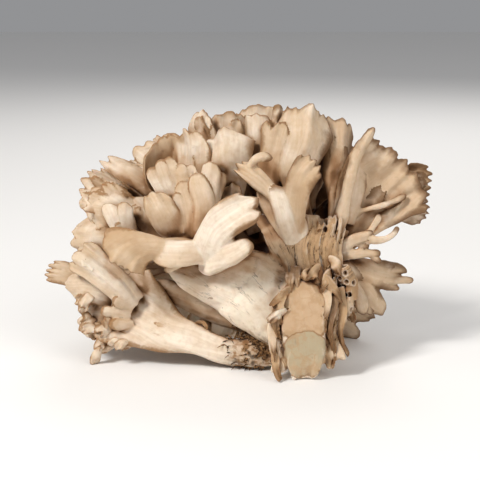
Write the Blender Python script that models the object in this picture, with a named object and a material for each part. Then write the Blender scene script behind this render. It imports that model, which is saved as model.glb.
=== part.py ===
"""Maitake (hen of the woods): a picked cluster that lies on its side, cut stem forward.

The body is one solid stem with its limbs, and one solid for each frond: the caps and fingers that
grow from one limb, fused where their roots meet. Every cap is a blade lofted along a bent midrib.
Blade sizes and places are in millimetres for a cluster 200 mm wide; MM turns them into metres.
-X is the cluster's left, -Y its front (the cut stem), +Z up, and the surface it lies on is z = 0.
"""
import math
import random

import bmesh
import bpy
import numpy as np
from mathutils import Matrix, Vector

CLUSTER_WIDTH = 0.200
MM = CLUSTER_WIDTH / 200
CAP_EDGE = 1.3            # thickness of a cap at its rim
GAP = 0.6                # clearance left between neighbouring solids
BEND = 0.9                # how far the slow bends of the flesh carry it
SETTLE = (1.6, -2.0, -2.6)   # the middle of the cluster over the origin, its low points on the ground
CUT_FACE = ((33, -64, 13), (-0.05, -1, 0.12))   # the knife's cut across the stem: a point and its direction
TRIM_FACE = ((27, -56, 38), (-0.1, -0.86, 0.5))  # the shallow slice above it
BOX = 400                 # edge of the blocks that cut the flesh flat
SOLVER = "MANIFOLD"       # keeps every joined or cut solid closed
KEPT_FACES = 0.5          # share of triangles kept when the slivers along joints are merged


def unit(v):
    return v / np.maximum(np.linalg.norm(v, axis=-1, keepdims=True), 1e-9)


def ease(x):
    x = np.clip(x, 0, 1)
    return x * x * (3 - 2 * x)


# ---------------------------------------------------------------- the three kinds of blade

def cap(root, tip, spread, **more):
    """A fan-shaped cap that opens from a narrow neck, from its root to the middle of its rim."""
    shape = dict(root=root, tip=tip, spread=spread, neck=spread / 3, bow=(0, 0, 0), face=(0, -1, 0),
                 turn=None, thick=6, body=3, rim=CAP_EDGE, opens=0.15, power=0.9, rounded=0.4, lobes=3,
                 depth=0.025, phase=0, cup=0, wave=0, waves=2, curl=-1.5, profile=4, rows=5, cols=6)
    shape.update(more)
    return shape


def finger(root, tip, spread, **more):
    """A narrow fleshy lobe, round or tongue-shaped."""
    usual = dict(neck=spread * 0.8, body=4, rim=1.8, opens=0, power=1, rounded=0.4, profile=2.6, depth=0,
                 curl=0, rows=4, cols=5)
    return cap(root, tip, spread, **{**usual, **more})


def limb(root, tip, neck, spread, thick, body, **more):
    """A stout round piece of the stem."""
    usual = dict(neck=neck, thick=thick, body=body, rim=2.4, opens=0, power=1, rounded=0, profile=2, depth=0,
                 curl=0, rows=4, cols=6)
    return cap(root, tip, spread, **{**usual, **more})


def warp(p):
    """Slow bends through the whole cluster, so that no edge is straight; each wave's length is in mm."""
    x, y, z = p[..., 0], p[..., 1], p[..., 2]
    turn = 2 * math.pi
    dx = np.sin(turn * (z / 47 + y / 61) + 0.7) + 0.5 * np.sin(turn * (y / 23 + z / 29) + 2.1)
    dy = np.sin(turn * (x / 53 + z / 67) + 1.9) + 0.5 * np.sin(turn * (x / 27 + z / 21) + 0.4)
    dz = np.sin(turn * (x / 43 + y / 59) + 3.3) + 0.5 * np.sin(turn * (y / 25 - x / 31) + 1.2)
    return p + BEND * np.stack([dx, dy, dz], -1)


def sheets(b, grow=0.0):
    """The pore side and the top of one blade, each a grid of points, rows from root to rim."""
    s = np.linspace(0, 1, b["rows"])[:, None]
    v = np.linspace(-1, 1, b["cols"])[None, :]
    v = (v + np.sin(v * math.pi / 2)) / 2
    root, tip = np.array(b["root"], float), np.array(b["tip"], float)
    middle = (root + tip) / 2 + np.array(b["bow"], float)
    shoulder = b["rounded"] * min(1, 2.5 * b["spread"] / math.dist(root, tip))
    reach = 1 - shoulder * (1 - np.sqrt(1 - 0.97 * np.abs(v) ** 2.4)) / 0.83
    scallop = 2 * np.abs(np.cos(math.pi / 2 * b["lobes"] * v + b["phase"])) ** 0.6 - 1.3
    reach = reach + b["depth"] * scallop * ease(s)
    more = grow / np.linalg.norm(tip - root)
    t = s * (reach + 2 * more) - more
    t3 = t[..., None]
    centre = (1 - t3) ** 2 * root + 2 * t3 * (1 - t3) * middle + t3 ** 2 * tip
    along = unit(2 * (1 - t3) * (middle - root) + 2 * t3 * (tip - middle))
    first = unit(np.array(b["face"], float))
    last = unit(np.array(b["turn"] or b["face"], float))
    face = first * (1 - t3) + last * t3
    normal = unit(face - (face * along).sum(-1, keepdims=True) * along)
    side = np.cross(along, normal)
    opened = np.clip((s - b["opens"]) / (1 - b["opens"]), 0, 1) ** b["power"]
    width = b["neck"] + (b["spread"] - b["neck"]) * opened
    lift = b["cup"] * v ** 2 * opened
    lift = lift + b["wave"] * np.sin(math.pi * b["waves"] * v + b["phase"] + 0.5) * ease(s * 1.4 - 0.4)
    lift = lift + b["curl"] * ease(s * 1.8 - 0.8)
    p = centre + side * (v * (width + grow))[..., None] + normal * lift[..., None]
    square = 2 + (b["profile"] - 2) * ease(t * 1.2)
    across = np.clip(1 - np.abs(v) ** square, 0, 1) ** (1 / square)
    ahead = np.clip(1 - s ** 6, 0, 1) ** 0.4
    body = b["thick"] + (b["body"] - b["thick"]) * ease(t)
    half = (b["rim"] + np.maximum(body - b["rim"], 0) * across * ahead) / 2 + grow
    return warp(p + normal * half[..., None]), warp(p - normal * half[..., None])


def blade_mesh(name, b, grow=0.0):
    """One closed blade: a loft between unlike sections, split alike into triangles on both faces."""
    under, top = sheets(b, grow)
    rows, cols = under.shape[:2]
    layer = rows * cols
    faces = []

    def quad(p, q, r, s):
        faces.extend(((p, q, r), (p, r, s)))

    for i in range(rows - 1):
        for j in range(cols - 1):
            near, far = i * cols + j, (i + 1) * cols + j
            quad(near, far, far + 1, near + 1)
            faces.extend(((near + layer, far + 1 + layer, far + layer),
                          (near + layer, near + 1 + layer, far + 1 + layer)))
    for i in range(rows - 1):
        near, far = i * cols, (i + 1) * cols
        quad(near, near + layer, far + layer, far)
        near, far = near + cols - 1, far + cols - 1
        quad(far, far + layer, near + layer, near)
    for j in range(cols - 1):
        quad(j + 1, j + 1 + layer, j + layer, j)
        end = layer - cols + j
        quad(end, end + layer, end + 1 + layer, end + 1)
    mesh = bpy.data.meshes.new(name)
    points = np.concatenate([under.reshape(-1, 3), top.reshape(-1, 3)])
    points = (points + SETTLE) * MM
    mesh.from_pydata(points.tolist(), [], faces)
    bm = bmesh.new()
    bm.from_mesh(mesh)
    bmesh.ops.recalc_face_normals(bm, faces=bm.faces)
    bm.to_mesh(mesh)
    bm.free()
    return mesh


# ---------------------------------------------------------------- the stem and its fronds

def stem_base():
    """The cut butt, the hub and the limbs that part from it."""
    return [
        limb((31, -71, 7), (32, -34, 42), 8, 15, 21, 32, bow=(0, -3, 3), profile=3.4, rows=6, cols=8),
        limb((30, -42, 19), (-1, -42, 45), 12, 17, 22, 18, face=(0, -1, 0.1), rows=5, cols=7),
        limb((33, -26, 33), (-33, -37, 62), 18, 17, 30, 11, bow=(-1, -11, -4), face=(0, -1, 0.15),
             rounded=0.4, rows=7, cols=8),
        limb((20, -28, 21), (-50, -25, 39), 10, 6, 16, 7, bow=(-1, -5, 3), rounded=0.6),
        limb((30, -34, 41), (33, -30, 80), 9, 7, 16, 9, bow=(-3, -4, 2)),
        limb((37, -32, 40), (39, -30, 76), 8, 6, 14, 8, bow=(2, -4, 1)),
        limb((41, -28, 42), (50, -28, 70), 8, 5, 14, 9),
        limb((30, -32, 45), (9, -32, 82), 9, 7, 14, 10, bow=(3, -6, 6)),
        limb((38, -26, 41), (51, -23, 47), 11, 8, 15, 10),
        limb((31, -18, 36), (0, 10, 60), 18, 16, 30, 26, rows=5, cols=7),
        limb((23, -8, 45), (16, 2, 91), 14, 9, 20, 13),
        limb((8, 0, 51), (-29, -6, 74), 13, 9, 20, 13),
        limb((31, -8, 47), (54, -4, 78), 12, 9, 18, 12),
        limb((41, -38, 42), (46, -61, 12), 6, 5, 9, 7, rows=4),
        limb((21, -44, 35), (18, -61, 6), 5, 4, 8, 6, rows=4),
    ]


def frond_low_left():
    """The lowest limb on the left, a broad fan with folded strips and small caps at its end."""
    return [
        cap((25, -42, 11), (-65, -26, 35), 23, bow=(-1, -14, -16), face=(0.05, -1, 0.35), neck=7,
            thick=13, body=5, opens=0.45, power=2.3, rounded=0.1, lobes=3, depth=0.03, cup=5, rows=9,
            cols=9),
        cap((-59, -26, 33), (-90, -29, 41), 10, bow=(0, -14, 7), face=(-0.4, -1, 0.2), neck=7,
            rounded=0.7, cup=-4, curl=-3),
        cap((-57, -26, 22), (-85, -26, 20), 11, bow=(-1, -10, 3), face=(-0.4, -1, 0), neck=8,
            rounded=0.6, cup=-4, curl=-3),
        finger((-52, -33, 37), (-77, -35, 63), 3.6, bow=(2, -10, 7), face=(0, -1, 0.3), neck=3,
               wave=1.2, waves=2, rows=5, rounded=0.6),
        finger((-54, -34, 34), (-82, -36, 59), 3.4, bow=(2, -12, 6), face=(-0.3, -1, 0.2), neck=3,
               rows=5),
        finger((-57, -33, 31), (-84, -34, 54), 3.6, bow=(2, -12, 5), face=(-0.1, -1, 0.4), neck=3,
               wave=1, rows=5),
        cap((-58, -26, 35), (-97, -20, 48), 6, face=(0, -1, 0.5), neck=3, depth=0.1, lobes=5, rows=4,
            cols=5),
        finger((-55, -34, 33), (-64, -42, 37), 3, rows=4),
        finger((-56, -34, 29), (-70, -41, 31), 3, rows=4),
        finger((-55, -34, 24), (-65, -41, 24), 3, rows=4),
        finger((-55, -32, 19), (-71, -36, 8), 3, face=(0, -1, 0.8), rows=4),
        finger((-49, -30, 19), (-60, -35, 11), 3, face=(0, -1, 0.8), rows=4),
    ]


def frond_left_fan():
    """The large fan on the left that curls forward, and the pale broad lobes beside it."""
    return [
        cap((-16, -42, 61), (-60, -57, 58), 14, bow=(-9, -9, 17), face=(0.05, -1, 0.1), neck=3.5,
            thick=8, opens=0.45, power=1, rounded=0.25, depth=0.015, lobes=8, cup=-4, rows=8, cols=9),
        limb((-8, -34, 55), (-17, -46, 69), 10, 8, 14, 10, rows=4),
        finger((-14, -44, 60), (-43, -51, 63), 6.5, bow=(-1, -13, 6), face=(0, -1, 0.3)),
        finger((-22, -48, 61), (-37, -52, 55), 2, rows=4),
        cap((-16, -42, 58), (8, -60, 90), 8.5, bow=(-8, -13, 8), face=(-0.3, -1, 0.2), neck=7.5, thick=13,
            body=7, rim=4, rounded=0.3, cup=3, lobes=2, depth=0.06, phase=1, profile=3),
        finger((-17, -42, 57), (6, -61, 72), 4.5, bow=(-3, -11, -4), face=(0, -1, 0.4), neck=7, body=7,
               rim=3),
    ]


def frond_fingers():
    """Fingers and small caps that stand up beside the large fan."""
    return [
        limb((-13, -32, 57), (-22, -38, 73), 12, 10, 14, 10, rows=4),
        finger((-18, -38, 65), (-21, -39, 100), 6, bow=(2, -7, 1), thick=9, body=6, rounded=0.6,
               profile=2.4, rows=6),
        finger((-14, -38, 66), (-13, -35, 106), 5, bow=(-4, -3, -2), thick=9, body=6, rows=6),
        finger((-14, -36, 84), (-8, -34, 101), 3, thick=5, rows=4),
        finger((-24, -38, 67), (-28, -38, 96), 5.5, bow=(0, -4, 0), body=5, cup=-2, rounded=0.6),
        finger((-27, -40, 70), (-32, -41, 91), 2.8, thick=5, rows=4),
        cap((-29, -36, 67), (-44, -45, 94), 7.5, bow=(-4, -10, 4), face=(0.1, -1, 0.1), neck=5,
            rounded=0.7, curl=-1, cols=6),
        limb((-22, -30, 66), (-31, -31, 90), 6, 5, 9, 6, rows=4),
        finger((-27, -33, 74), (-44, -36, 103), 3.2, bow=(-1, -4, -2), thick=4, body=3, rows=5),
        finger((-28, -33, 75), (-39, -37, 107), 3, bow=(-1, -4, 0), thick=4, body=3, rows=5),
        finger((-27, -32, 76), (-34, -36, 108), 3.2, bow=(-2, -5, 1), thick=4, body=3, rows=5),
        finger((-26, -33, 75), (-29, -37, 105), 2.8, bow=(1, -4, 0), thick=4, body=3, rows=5),
        finger((-25, -33, 74), (-24, -36, 104), 3, bow=(2, -3, 0), thick=4, body=3, rows=5),
        cap((-8, -31, 63), (-3, -26, 93), 6, neck=4, rounded=0.7, cols=5, rows=5),
    ]


def frond_upper_left():
    """The great cap at the upper left, folded along its middle, and the caps behind it."""
    return [
        limb((-8, -14, 65), (-22, -22, 82), 9, 8, 12, 9, rows=4),
        cap((-19, -18, 67), (-40, -14, 117), 16, bow=(-4, 8, -6), face=(0.4, -1, -0.35), neck=6,
            thick=8, opens=0.15, power=0.8, rounded=0.4, cup=8, curl=5, rows=8, cols=9),
        cap((-16, -22, 68), (-28, -19, 119), 11, bow=(1, -8, -3), face=(-0.5, -1, 0.1), neck=6,
            thick=7, rounded=0.4, cup=-2, curl=0, rows=7),
        cap((-14, -22, 73), (-24, -20, 115), 4, bow=(4, -6, 2), face=(1, -0.7, 0), neck=4, rows=6,
            cols=5),
        cap((-26, -8, 79), (-44, 2, 114), 11, face=(-0.4, -1, 0), neck=6, cup=-5, curl=-4),
        cap((-30, -14, 80), (-56, -7, 109), 12, bow=(1, -11, 4), face=(-0.2, -1, 0.3), neck=6,
            depth=0.05, cup=-6, curl=-4),
        cap((-32, -16, 79), (-71, -10, 102), 8, bow=(-1, -10, 4), face=(-0.3, -1, 0.5), neck=5,
            depth=0.08, cup=-4),
    ]


def frond_left_outer():
    """Caps that fan out at the far left."""
    return [
        limb((-15, -20, 58), (-50, -20, 71), 9, 9, 14, 10),
        cap((-46, -20, 67), (-85, -20, 78), 14, bow=(-3, -20, 16), face=(-0.35, -1, 0.15), neck=8,
            rounded=0.55, cup=-8, curl=-6),
        cap((-46, -20, 64), (-90, -20, 59), 13, bow=(0, -16, 7), face=(-0.4, -1, 0), neck=7,
            rounded=0.55, cup=-7, curl=-6),
        cap((-43, -18, 71), (-76, -16, 94), 13, bow=(0, -2, 3), face=(0.3, -1, -0.3), neck=6,
            rounded=0.35, cup=8, curl=6, depth=0.08, lobes=4),
        cap((-41, -14, 72), (-62, -4, 95), 12, face=(0.5, -1, -0.3), neck=6, cup=6, curl=4),
        cap((-48, -26, 72), (-68, -24, 91), 8, face=(0, -1, 0.1), neck=5, depth=0.08, lobes=5, curl=3,
            cols=6),
        finger((-54, -28, 65), (-66, -35, 85), 5, bow=(-4, -9, 1), neck=4, curl=-1),
        finger((-52, -30, 66), (-57, -38, 86), 4, bow=(-4, -8, 2), neck=3.5, rows=4),
        finger((-55, -30, 65), (-61, -39, 76), 3.5, neck=3.5, rows=4),
        cap((-38, -26, 65), (-57, -27, 86), 10, bow=(-3, -7, 3), face=(0.1, -1, 0), neck=6, rounded=0.5,
            cup=-2, cols=6),
    ]


def frond_crown_left():
    """Caps at the left of the crown."""
    return [
        limb((11, -4, 65), (2, -1, 90), 10, 12, 18, 16, rows=4),
        limb((-4, -12, 82), (-2, 8, 98), 9, 10, 12, 12, rows=4),
        cap((0, -6, 76), (-12, -14, 122), 17, bow=(-6, -30, 12), face=(-0.15, -1, 0), neck=6, thick=8,
            opens=0.15, power=0.7, rounded=0.4, depth=0, cup=-9, wave=1, curl=-5, rows=8,
            cols=9),
        cap((-6, 2, 91), (-18, 4, 126), 8, bow=(-12, -2, 0), face=(-0.5, -1, 0.1), neck=6, rounded=0.8,
            depth=0.02, cols=5),
        cap((-1, 4, 90), (-5, 8, 126), 12, face=(0.2, -1, 0.2), neck=6, rounded=0.4, cup=-5, curl=-4,
            cols=6),
        cap((8, 6, 90), (7, 14, 129), 14, face=(-0.1, -1, 0.3), neck=6, rounded=0.35, cup=-5, curl=-4,
            cols=6),
    ]


def frond_crown_mid():
    """Caps at the middle of the crown."""
    return [
        cap((19, -11, 74), (8, -12, 127), 8, bow=(-5, -2, 0), face=(-0.3, -1, 0.25), neck=6,
            thick=8, opens=0.3, rounded=0.3, cup=-3, rows=7),
        cap((22, -15, 74), (21, -20, 123), 9.5, bow=(-11, -4, 0), face=(-0.2, -1, 0.1), neck=5,
            thick=8, opens=0.4, rounded=0.3, cup=-1, lobes=2, depth=0.06, rows=7),
        cap((31, -18, 69), (35, -18, 133), 15, bow=(-7, -16, 6), face=(-0.1, -1, 0), neck=5.5,
            thick=9, opens=0.35, power=0.8, rounded=0.4, depth=0.015, cup=-8, wave=1.5, curl=-4, rows=8,
            cols=9),
        finger((13, -5, 100), (21, -7, 131), 2.5, bow=(-1, -4, 3), face=(0.6, -1, 0), rows=5),
        cap((28, -8, 79), (26, 0, 128), 7, face=(0.5, -1, 0), neck=5, cols=5),
        cap((35, -10, 77), (43, -2, 126), 10, face=(0.5, -1, 0), neck=5, curl=-5, cup=-5, cols=6),
        limb((31, -16, 51), (24, -9, 79), 10, 12, 18, 14, rows=4),
    ]


def frond_crown_right():
    """The tall cap at the right of the crown."""
    return [
        cap((49, -26, 53), (53, -12, 124), 9.5, bow=(-4, 0, 9), face=(0.25, -1, 0), neck=4.5, thick=8,
            opens=0.5, power=0.7, rounded=0.3, cup=-5, curl=-4, rows=9),
        cap((50, -14, 80), (63, -6, 107), 9, bow=(-4, -4, 3), face=(0.6, -1, 0), neck=5, cup=-4,
            cols=6),
    ]


def frond_front():
    """The strap, the twisted frond and the tongues in front of the column."""
    return [
        cap((28, -34, 71), (37, -44, 108), 7.5, bow=(-11, -9, 4), face=(-0.1, -1, 0.1),
            turn=(0.15, -1, 0.2), neck=4.5, thick=8, rounded=0.3, depth=0.05, lobes=4, cup=2, rows=7),
        limb((32, -34, 61), (26, -34, 80), 6, 5, 10, 8, rows=4),
        finger((27, -34, 75), (0, -38, 105), 4.5, bow=(-1, -12, 7), face=(0, -1, 0.5), neck=4,
               depth=0.1, lobes=3, wave=1.5, rows=7),
        finger((4, -38, 101), (16, -40, 107), 2.4, bow=(-3, -4, 7), face=(0, -1, 0.6), rows=5),
        finger((28, -35, 65), (17, -43, 95), 5, bow=(-5, -6, 2), face=(-0.1, -1, 0.1), thick=8, body=6,
               rim=3, neck=4),
        finger((25, -34, 66), (11, -36, 93), 3, bow=(-8, -6, 0), face=(0, -1, 0.1)),
    ]


def frond_right_fan():
    """The great fan on the right, ribbed and dark-rimmed."""
    return [
        cap((48, -26, 55), (84, -22, 104), 25, bow=(-6, 8, 6), face=(0, -1, -0.05), neck=6, thick=9,
            opens=0.05, power=1, rounded=0.15, cup=6, curl=4, depth=0.03, lobes=5, rows=9, cols=9),
        finger((46, -30, 54), (65, -32, 123), 2.6, bow=(-5, -3, 3), face=(0.3, -1, 0), neck=3.5, thick=7,
               body=4, rounded=1, rows=8),
        cap((53, -27, 72), (64, -25, 114), 7, face=(0.5, -1, 0), neck=4, cols=5),
        cap((74, -19, 88), (97, -13, 89), 13, bow=(1, 3, 2), face=(0.5, -1, 0), thick=7, depth=0.1,
            lobes=7, curl=4),
        cap((69, -20, 82), (94, -23, 76), 8, face=(0, -1, -0.3), thick=5, depth=0.1, lobes=5),
        finger((56, -25, 76), (83, -28, 87), 1.6, bow=(0, -3, 4), face=(0, -1, 0.4), thick=4, body=3,
               rows=6),
    ]


def frond_antler():
    """Forked fingers on the right."""
    return [
        finger((45, -28, 54), (66, -34, 70), 2.6, bow=(-2, -5, 3), neck=4.5, thick=7, body=3.4,
               face=(0, -1, 0.2)),
        finger((62, -33, 67), (77, -36, 74), 1.3, bow=(7, -4, -5), neck=2.2, thick=3.4, body=2.4, rows=6),
        finger((49, -30, 55), (71, -33, 60), 1.8, bow=(-1, -5, 2), neck=3, thick=4, body=2.6, rows=6),
        finger((65, -33, 60), (72, -34, 55), 1.6, thick=3, body=2.4, rows=4),
        finger((61, -32, 66), (70, -30, 80), 2, thick=4, body=3, rows=4),
        finger((56, -32, 63), (65, -35, 63), 1.3, thick=3, body=2.4, rows=4),
    ]


def frond_low_right():
    """Small caps low on the right, dark at their rims."""
    return [
        limb((39, -23, 45), (60, -24, 48), 9, 6, 12, 8, rows=4),
        cap((52, -23, 49), (84, -20, 42), 7.5, bow=(-2, -7, 6), face=(0, -1, 0.2), neck=5, thick=8,
            rounded=0.1, depth=0.06, lobes=3, cup=-2, curl=-1),
        cap((51, -25, 50), (63, -29, 44), 5, bow=(0, -4, 3), face=(0.2, -1, 0.2), neck=4, rounded=0.6,
            cup=-2),
        finger((54, -27, 47), (62, -31, 27), 3.5, bow=(1, -6, 3)),
        cap((55, -22, 46), (72, -22, 24), 7, bow=(3, -9, 4), face=(0, -1, 0.1), neck=4.5, rounded=0.6,
            cup=-3, cols=6),
        cap((52, -20, 46), (56, -18, 24), 7.5, bow=(2, -4, 2), neck=5, rounded=0.4, cols=6),
        finger((74, -22, 44), (90, -20, 41), 1.8, rows=4),
    ]


HEART = np.array((8.0, 6.0, 50.0))   # where the limbs of the fronds behind part from the stem
SECTORS = 6
# ring of caps behind: reach across, reach up, depth behind the middle, half width, number of caps
RINGS = ((84, 66, 8, 19, 12), (70, 60, 30, 18, 10), (48, 44, 46, 16, 8), (25, 25, 58, 13, 5),
         (8, 8, 64, 11, 3))
WEDGE = (-0.3, 0.28)                 # sines of the directions on the right where no cap grows
HEART_RINGS = 3                      # the rings from this one inwards make one upright frond


def back_fronds():
    """The overlapping caps behind, ring within ring like a rosette, in a frond for each sector."""
    draw = random.Random(7)
    nodes = {}
    for ring, (across, up, behind, half, count) in enumerate(RINGS):
        for k in range(count):
            angle = 2 * math.pi * (k + 0.5 * (ring % 2) + draw.uniform(-0.2, 0.2)) / count
            away = np.array((math.cos(angle), 0, math.sin(angle)))
            if ring < HEART_RINGS and away[0] > 0 and WEDGE[0] < away[2] < WEDGE[1]:
                continue
            sector = int(angle / (2 * math.pi) * SECTORS) % SECTORS
            name = f"frond_back_{sector + 1}"
            middle = 2 * math.pi * (sector + 0.5) / SECTORS
            rise = 22 if math.sin(middle) > 0 else 16
            branch = np.array((22 * math.cos(middle), 10, rise * math.sin(middle)))
            if ring >= HEART_RINGS:
                name = "frond_back_heart"
                branch = np.array((0, 18, 0))
            down = 1.15 if away[2] < 0 else 1
            spot = away * (across, 0, up * down) * draw.uniform(0.92, 1)
            tip = np.array((0, behind + draw.uniform(-4, 4), 50)) + spot
            tip[2] = max(tip[2], 1)
            if name not in nodes:
                nodes[name] = [limb(tuple(HEART - (0, 4, 0)), tuple(HEART + branch * 1.15), 10, 9, 14, 12,
                                    face=(0.3, -0.6, 1))]
            nodes[name].append(cap(
                tuple(HEART + branch), tuple(tip), half * draw.uniform(0.88, 1.15),
                bow=tuple((0, 4 + 5 * ring, 0) - away * 4),
                face=tuple((0, -1, 0) + away * (0.25 + 0.2 * ring)),
                neck=6, thick=8, rounded=0.3, phase=draw.uniform(0, 6), depth=draw.uniform(0.03, 0.07),
                cup=draw.uniform(-5, 1), wave=draw.uniform(0.5, 2), waves=draw.choice((2, 3)), rows=5,
                cols=5 if ring >= HEART_RINGS else 6))
    return nodes


def fronds():
    """Every solid's blades by name; each is cut clear of those before it."""
    by_hand = (stem_base, frond_front, frond_left_fan, frond_fingers, frond_low_left, frond_left_outer,
               frond_upper_left, frond_crown_mid, frond_crown_left, frond_crown_right, frond_antler,
               frond_right_fan, frond_low_right)
    return {**{part.__name__: part() for part in by_hand}, **back_fronds()}


# ---------------------------------------------------------------- solids

def collection(name):
    group = bpy.data.collections.new(name)
    bpy.context.scene.collection.children.link(group)
    return group


def put(group, name, mesh):
    obj = bpy.data.objects.new(name, mesh)
    group.objects.link(obj)
    return obj


def clear(group):
    for obj in list(group.objects):
        bpy.data.objects.remove(obj)
    bpy.data.collections.remove(group)


def apply_boolean(obj, operation, group):
    """Join a collection to an object, or cut it away, and keep the result as the object's mesh."""
    step = obj.modifiers.new(operation.title(), "BOOLEAN")
    step.operation = operation
    step.operand_type = "COLLECTION"
    step.collection = group
    step.solver = SOLVER
    shaped = bpy.data.meshes.new_from_object(obj.evaluated_get(bpy.context.evaluated_depsgraph_get()))
    obj.modifiers.remove(step)
    obj.data = shaped


def thin_out(obj):
    """Merge the slivers that joining leaves along the seams."""
    step = obj.modifiers.new("Thin out", "DECIMATE")
    step.ratio = KEPT_FACES
    shaped = bpy.data.meshes.new_from_object(obj.evaluated_get(bpy.context.evaluated_depsgraph_get()))
    obj.modifiers.remove(step)
    obj.data = shaped


def slab(name, point, outward):
    """A large block whose face lies on a plane, to cut away all that is beyond it."""
    mesh = bpy.data.meshes.new(name)
    bm = bmesh.new()
    bmesh.ops.create_cube(bm, size=BOX * MM)
    turn = Vector((0, 0, 1)).rotation_difference(Vector(outward).normalized()).to_matrix().to_4x4()
    place = (Vector(point) + Vector(SETTLE)) * MM
    lift = Matrix.Translation((0, 0, BOX * MM / 2))
    bmesh.ops.transform(bm, matrix=Matrix.Translation(place) @ turn @ lift, verts=bm.verts)
    bm.to_mesh(mesh)
    bm.free()
    return mesh


def keep_body(obj):
    """Weld slivers and drop the loose scraps and sealed hollows that cutting and joining leave."""
    bm = bmesh.new()
    bm.from_mesh(obj.data)
    bmesh.ops.triangulate(bm, faces=bm.faces)
    left = set(bm.faces)
    best = []
    while left:
        seed = left.pop()
        island, stack = [seed], [seed]
        while stack:
            for edge in stack.pop().edges:
                for face in edge.link_faces:
                    if face in left:
                        left.remove(face)
                        island.append(face)
                        stack.append(face)
        if len(island) > len(best):
            best = island
    keep = set(best)
    bmesh.ops.delete(bm, geom=[f for f in bm.faces if f not in keep], context="FACES")
    bmesh.ops.delete(bm, geom=[v for v in bm.verts if not v.link_faces], context="VERTS")
    bm.to_mesh(obj.data)
    bm.free()


def box_of(blades):
    points = np.concatenate([np.concatenate(sheets(b)).reshape(-1, 3) for b in blades])
    return points.min(0) - GAP, points.max(0) + GAP


def overlap(one, other):
    return bool(np.all(one[0] < other[1]) and np.all(other[0] < one[1]))


def solid(name, blades, earlier, cuts):
    """Fuse a frond's blades, trim it clear of the solids before it and flat where it rests."""
    obj = put(PARTS, name, blade_mesh(name, blades[0]))
    others = collection(name + "_repeats")
    for b in blades[1:]:
        put(others, name, blade_mesh(name, b))
    apply_boolean(obj, "UNION", others)
    clear(others)
    keep_body(obj)
    thin_out(obj)
    cutters = collection(name + "_cutters")
    mine = box_of(blades)
    for point, outward in cuts:
        put(cutters, name, slab(name, point, outward))
    for b in earlier:
        if overlap(mine, box_of([b])):
            put(cutters, name, blade_mesh(name, b, GAP))
    for other in PARTS.objects:
        if other is not obj:
            put(cutters, name, other.data)
    apply_boolean(obj, "DIFFERENCE", cutters)
    clear(cutters)
    keep_body(obj)
    return obj


def flesh(name, colour, roughness):
    material = bpy.data.materials.new(name)
    material.use_nodes = True
    shader = material.node_tree.nodes["Principled BSDF"]
    shader.inputs["Base Color"].default_value = (*colour, 1)
    shader.inputs["Roughness"].default_value = roughness
    return material


for old in list(bpy.data.objects):
    bpy.data.objects.remove(old)
PARTS = collection("maitake")
STEM_FLESH = flesh("stem_flesh", (0.74, 0.62, 0.47), 0.7)
CAP_FLESH = flesh("cap_flesh", (0.62, 0.48, 0.34), 0.75)
GROUND = ((0, 0, -SETTLE[2]), (0, 0, -1))

placed = []
for frond_name, frond_blades in fronds().items():
    faces_cut = [GROUND]
    if not placed:
        faces_cut += [CUT_FACE, TRIM_FACE]
    made = solid(frond_name, frond_blades, placed, faces_cut)
    made.data.materials.clear()
    made.data.materials.append(CAP_FLESH if placed else STEM_FLESH)
    placed += frond_blades
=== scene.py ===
import math
import random

import bmesh
import bpy
import numpy as np
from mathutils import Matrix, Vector


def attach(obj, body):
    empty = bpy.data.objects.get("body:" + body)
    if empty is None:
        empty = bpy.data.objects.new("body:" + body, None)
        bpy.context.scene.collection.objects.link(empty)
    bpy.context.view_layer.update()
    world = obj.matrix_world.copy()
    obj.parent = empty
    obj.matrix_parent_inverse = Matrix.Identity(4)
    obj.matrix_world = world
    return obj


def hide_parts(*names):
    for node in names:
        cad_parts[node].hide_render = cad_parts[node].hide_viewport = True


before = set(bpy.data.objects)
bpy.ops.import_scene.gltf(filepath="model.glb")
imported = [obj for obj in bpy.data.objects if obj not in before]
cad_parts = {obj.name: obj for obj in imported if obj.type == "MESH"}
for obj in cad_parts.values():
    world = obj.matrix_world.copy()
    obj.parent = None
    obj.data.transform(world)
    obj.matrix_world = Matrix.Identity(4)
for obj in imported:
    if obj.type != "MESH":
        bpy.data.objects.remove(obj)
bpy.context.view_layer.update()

# ---------------------------------------------------------------- the setting
# A plain pale card, a soft lamp high on the left, a wide weaker one on the right, one behind and
# a soft sky. The cluster is seen from a little above, square to its cut stem.
MM = 0.001
SETTLE = (1.6, -2.0, -2.6)    # the cluster's place over the origin, mm
AIM = Vector((0, 0, 59)) * MM + Vector(SETTLE) * MM
DISTANCE = 0.700
ELEVATION = math.radians(12)
CARD_REACH = 3                # half the width of the card, m


def new_object(name, data):
    """A new object in the scene, at the origin."""
    obj = bpy.data.objects.new(name, data)
    bpy.context.scene.collection.objects.link(obj)
    return obj


def matter(name, **constants):
    """A Principled material with its constants set, its node tree, and its shader's inputs."""
    material = bpy.data.materials.new(name)
    material.use_nodes = True
    surface = material.node_tree.nodes["Principled BSDF"].inputs
    for key, value in constants.items():
        surface[key.replace("_", " ")].default_value = value
    return material, material.node_tree, surface


def soft_lamp(name, place, width, watts, colour):
    """A square soft box that looks at the cluster."""
    light = bpy.data.lights.new(name, "AREA")
    light.size = width
    light.energy = watts
    light.color = colour
    lamp = new_object(name, light)
    lamp.location = place
    lamp.rotation_euler = (AIM - Vector(place)).to_track_quat("-Z", "Y").to_euler()


camera_data = bpy.data.cameras.new("camera")
camera_data.lens = 100
camera_data.sensor_width = 36
camera_data.clip_start = 0.01
camera = new_object("camera", camera_data)
camera.location = AIM + Vector((0, -math.cos(ELEVATION), math.sin(ELEVATION))) * DISTANCE
camera.rotation_euler = (math.radians(90) - ELEVATION, 0, 0)
bpy.context.scene.camera = camera

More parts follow.
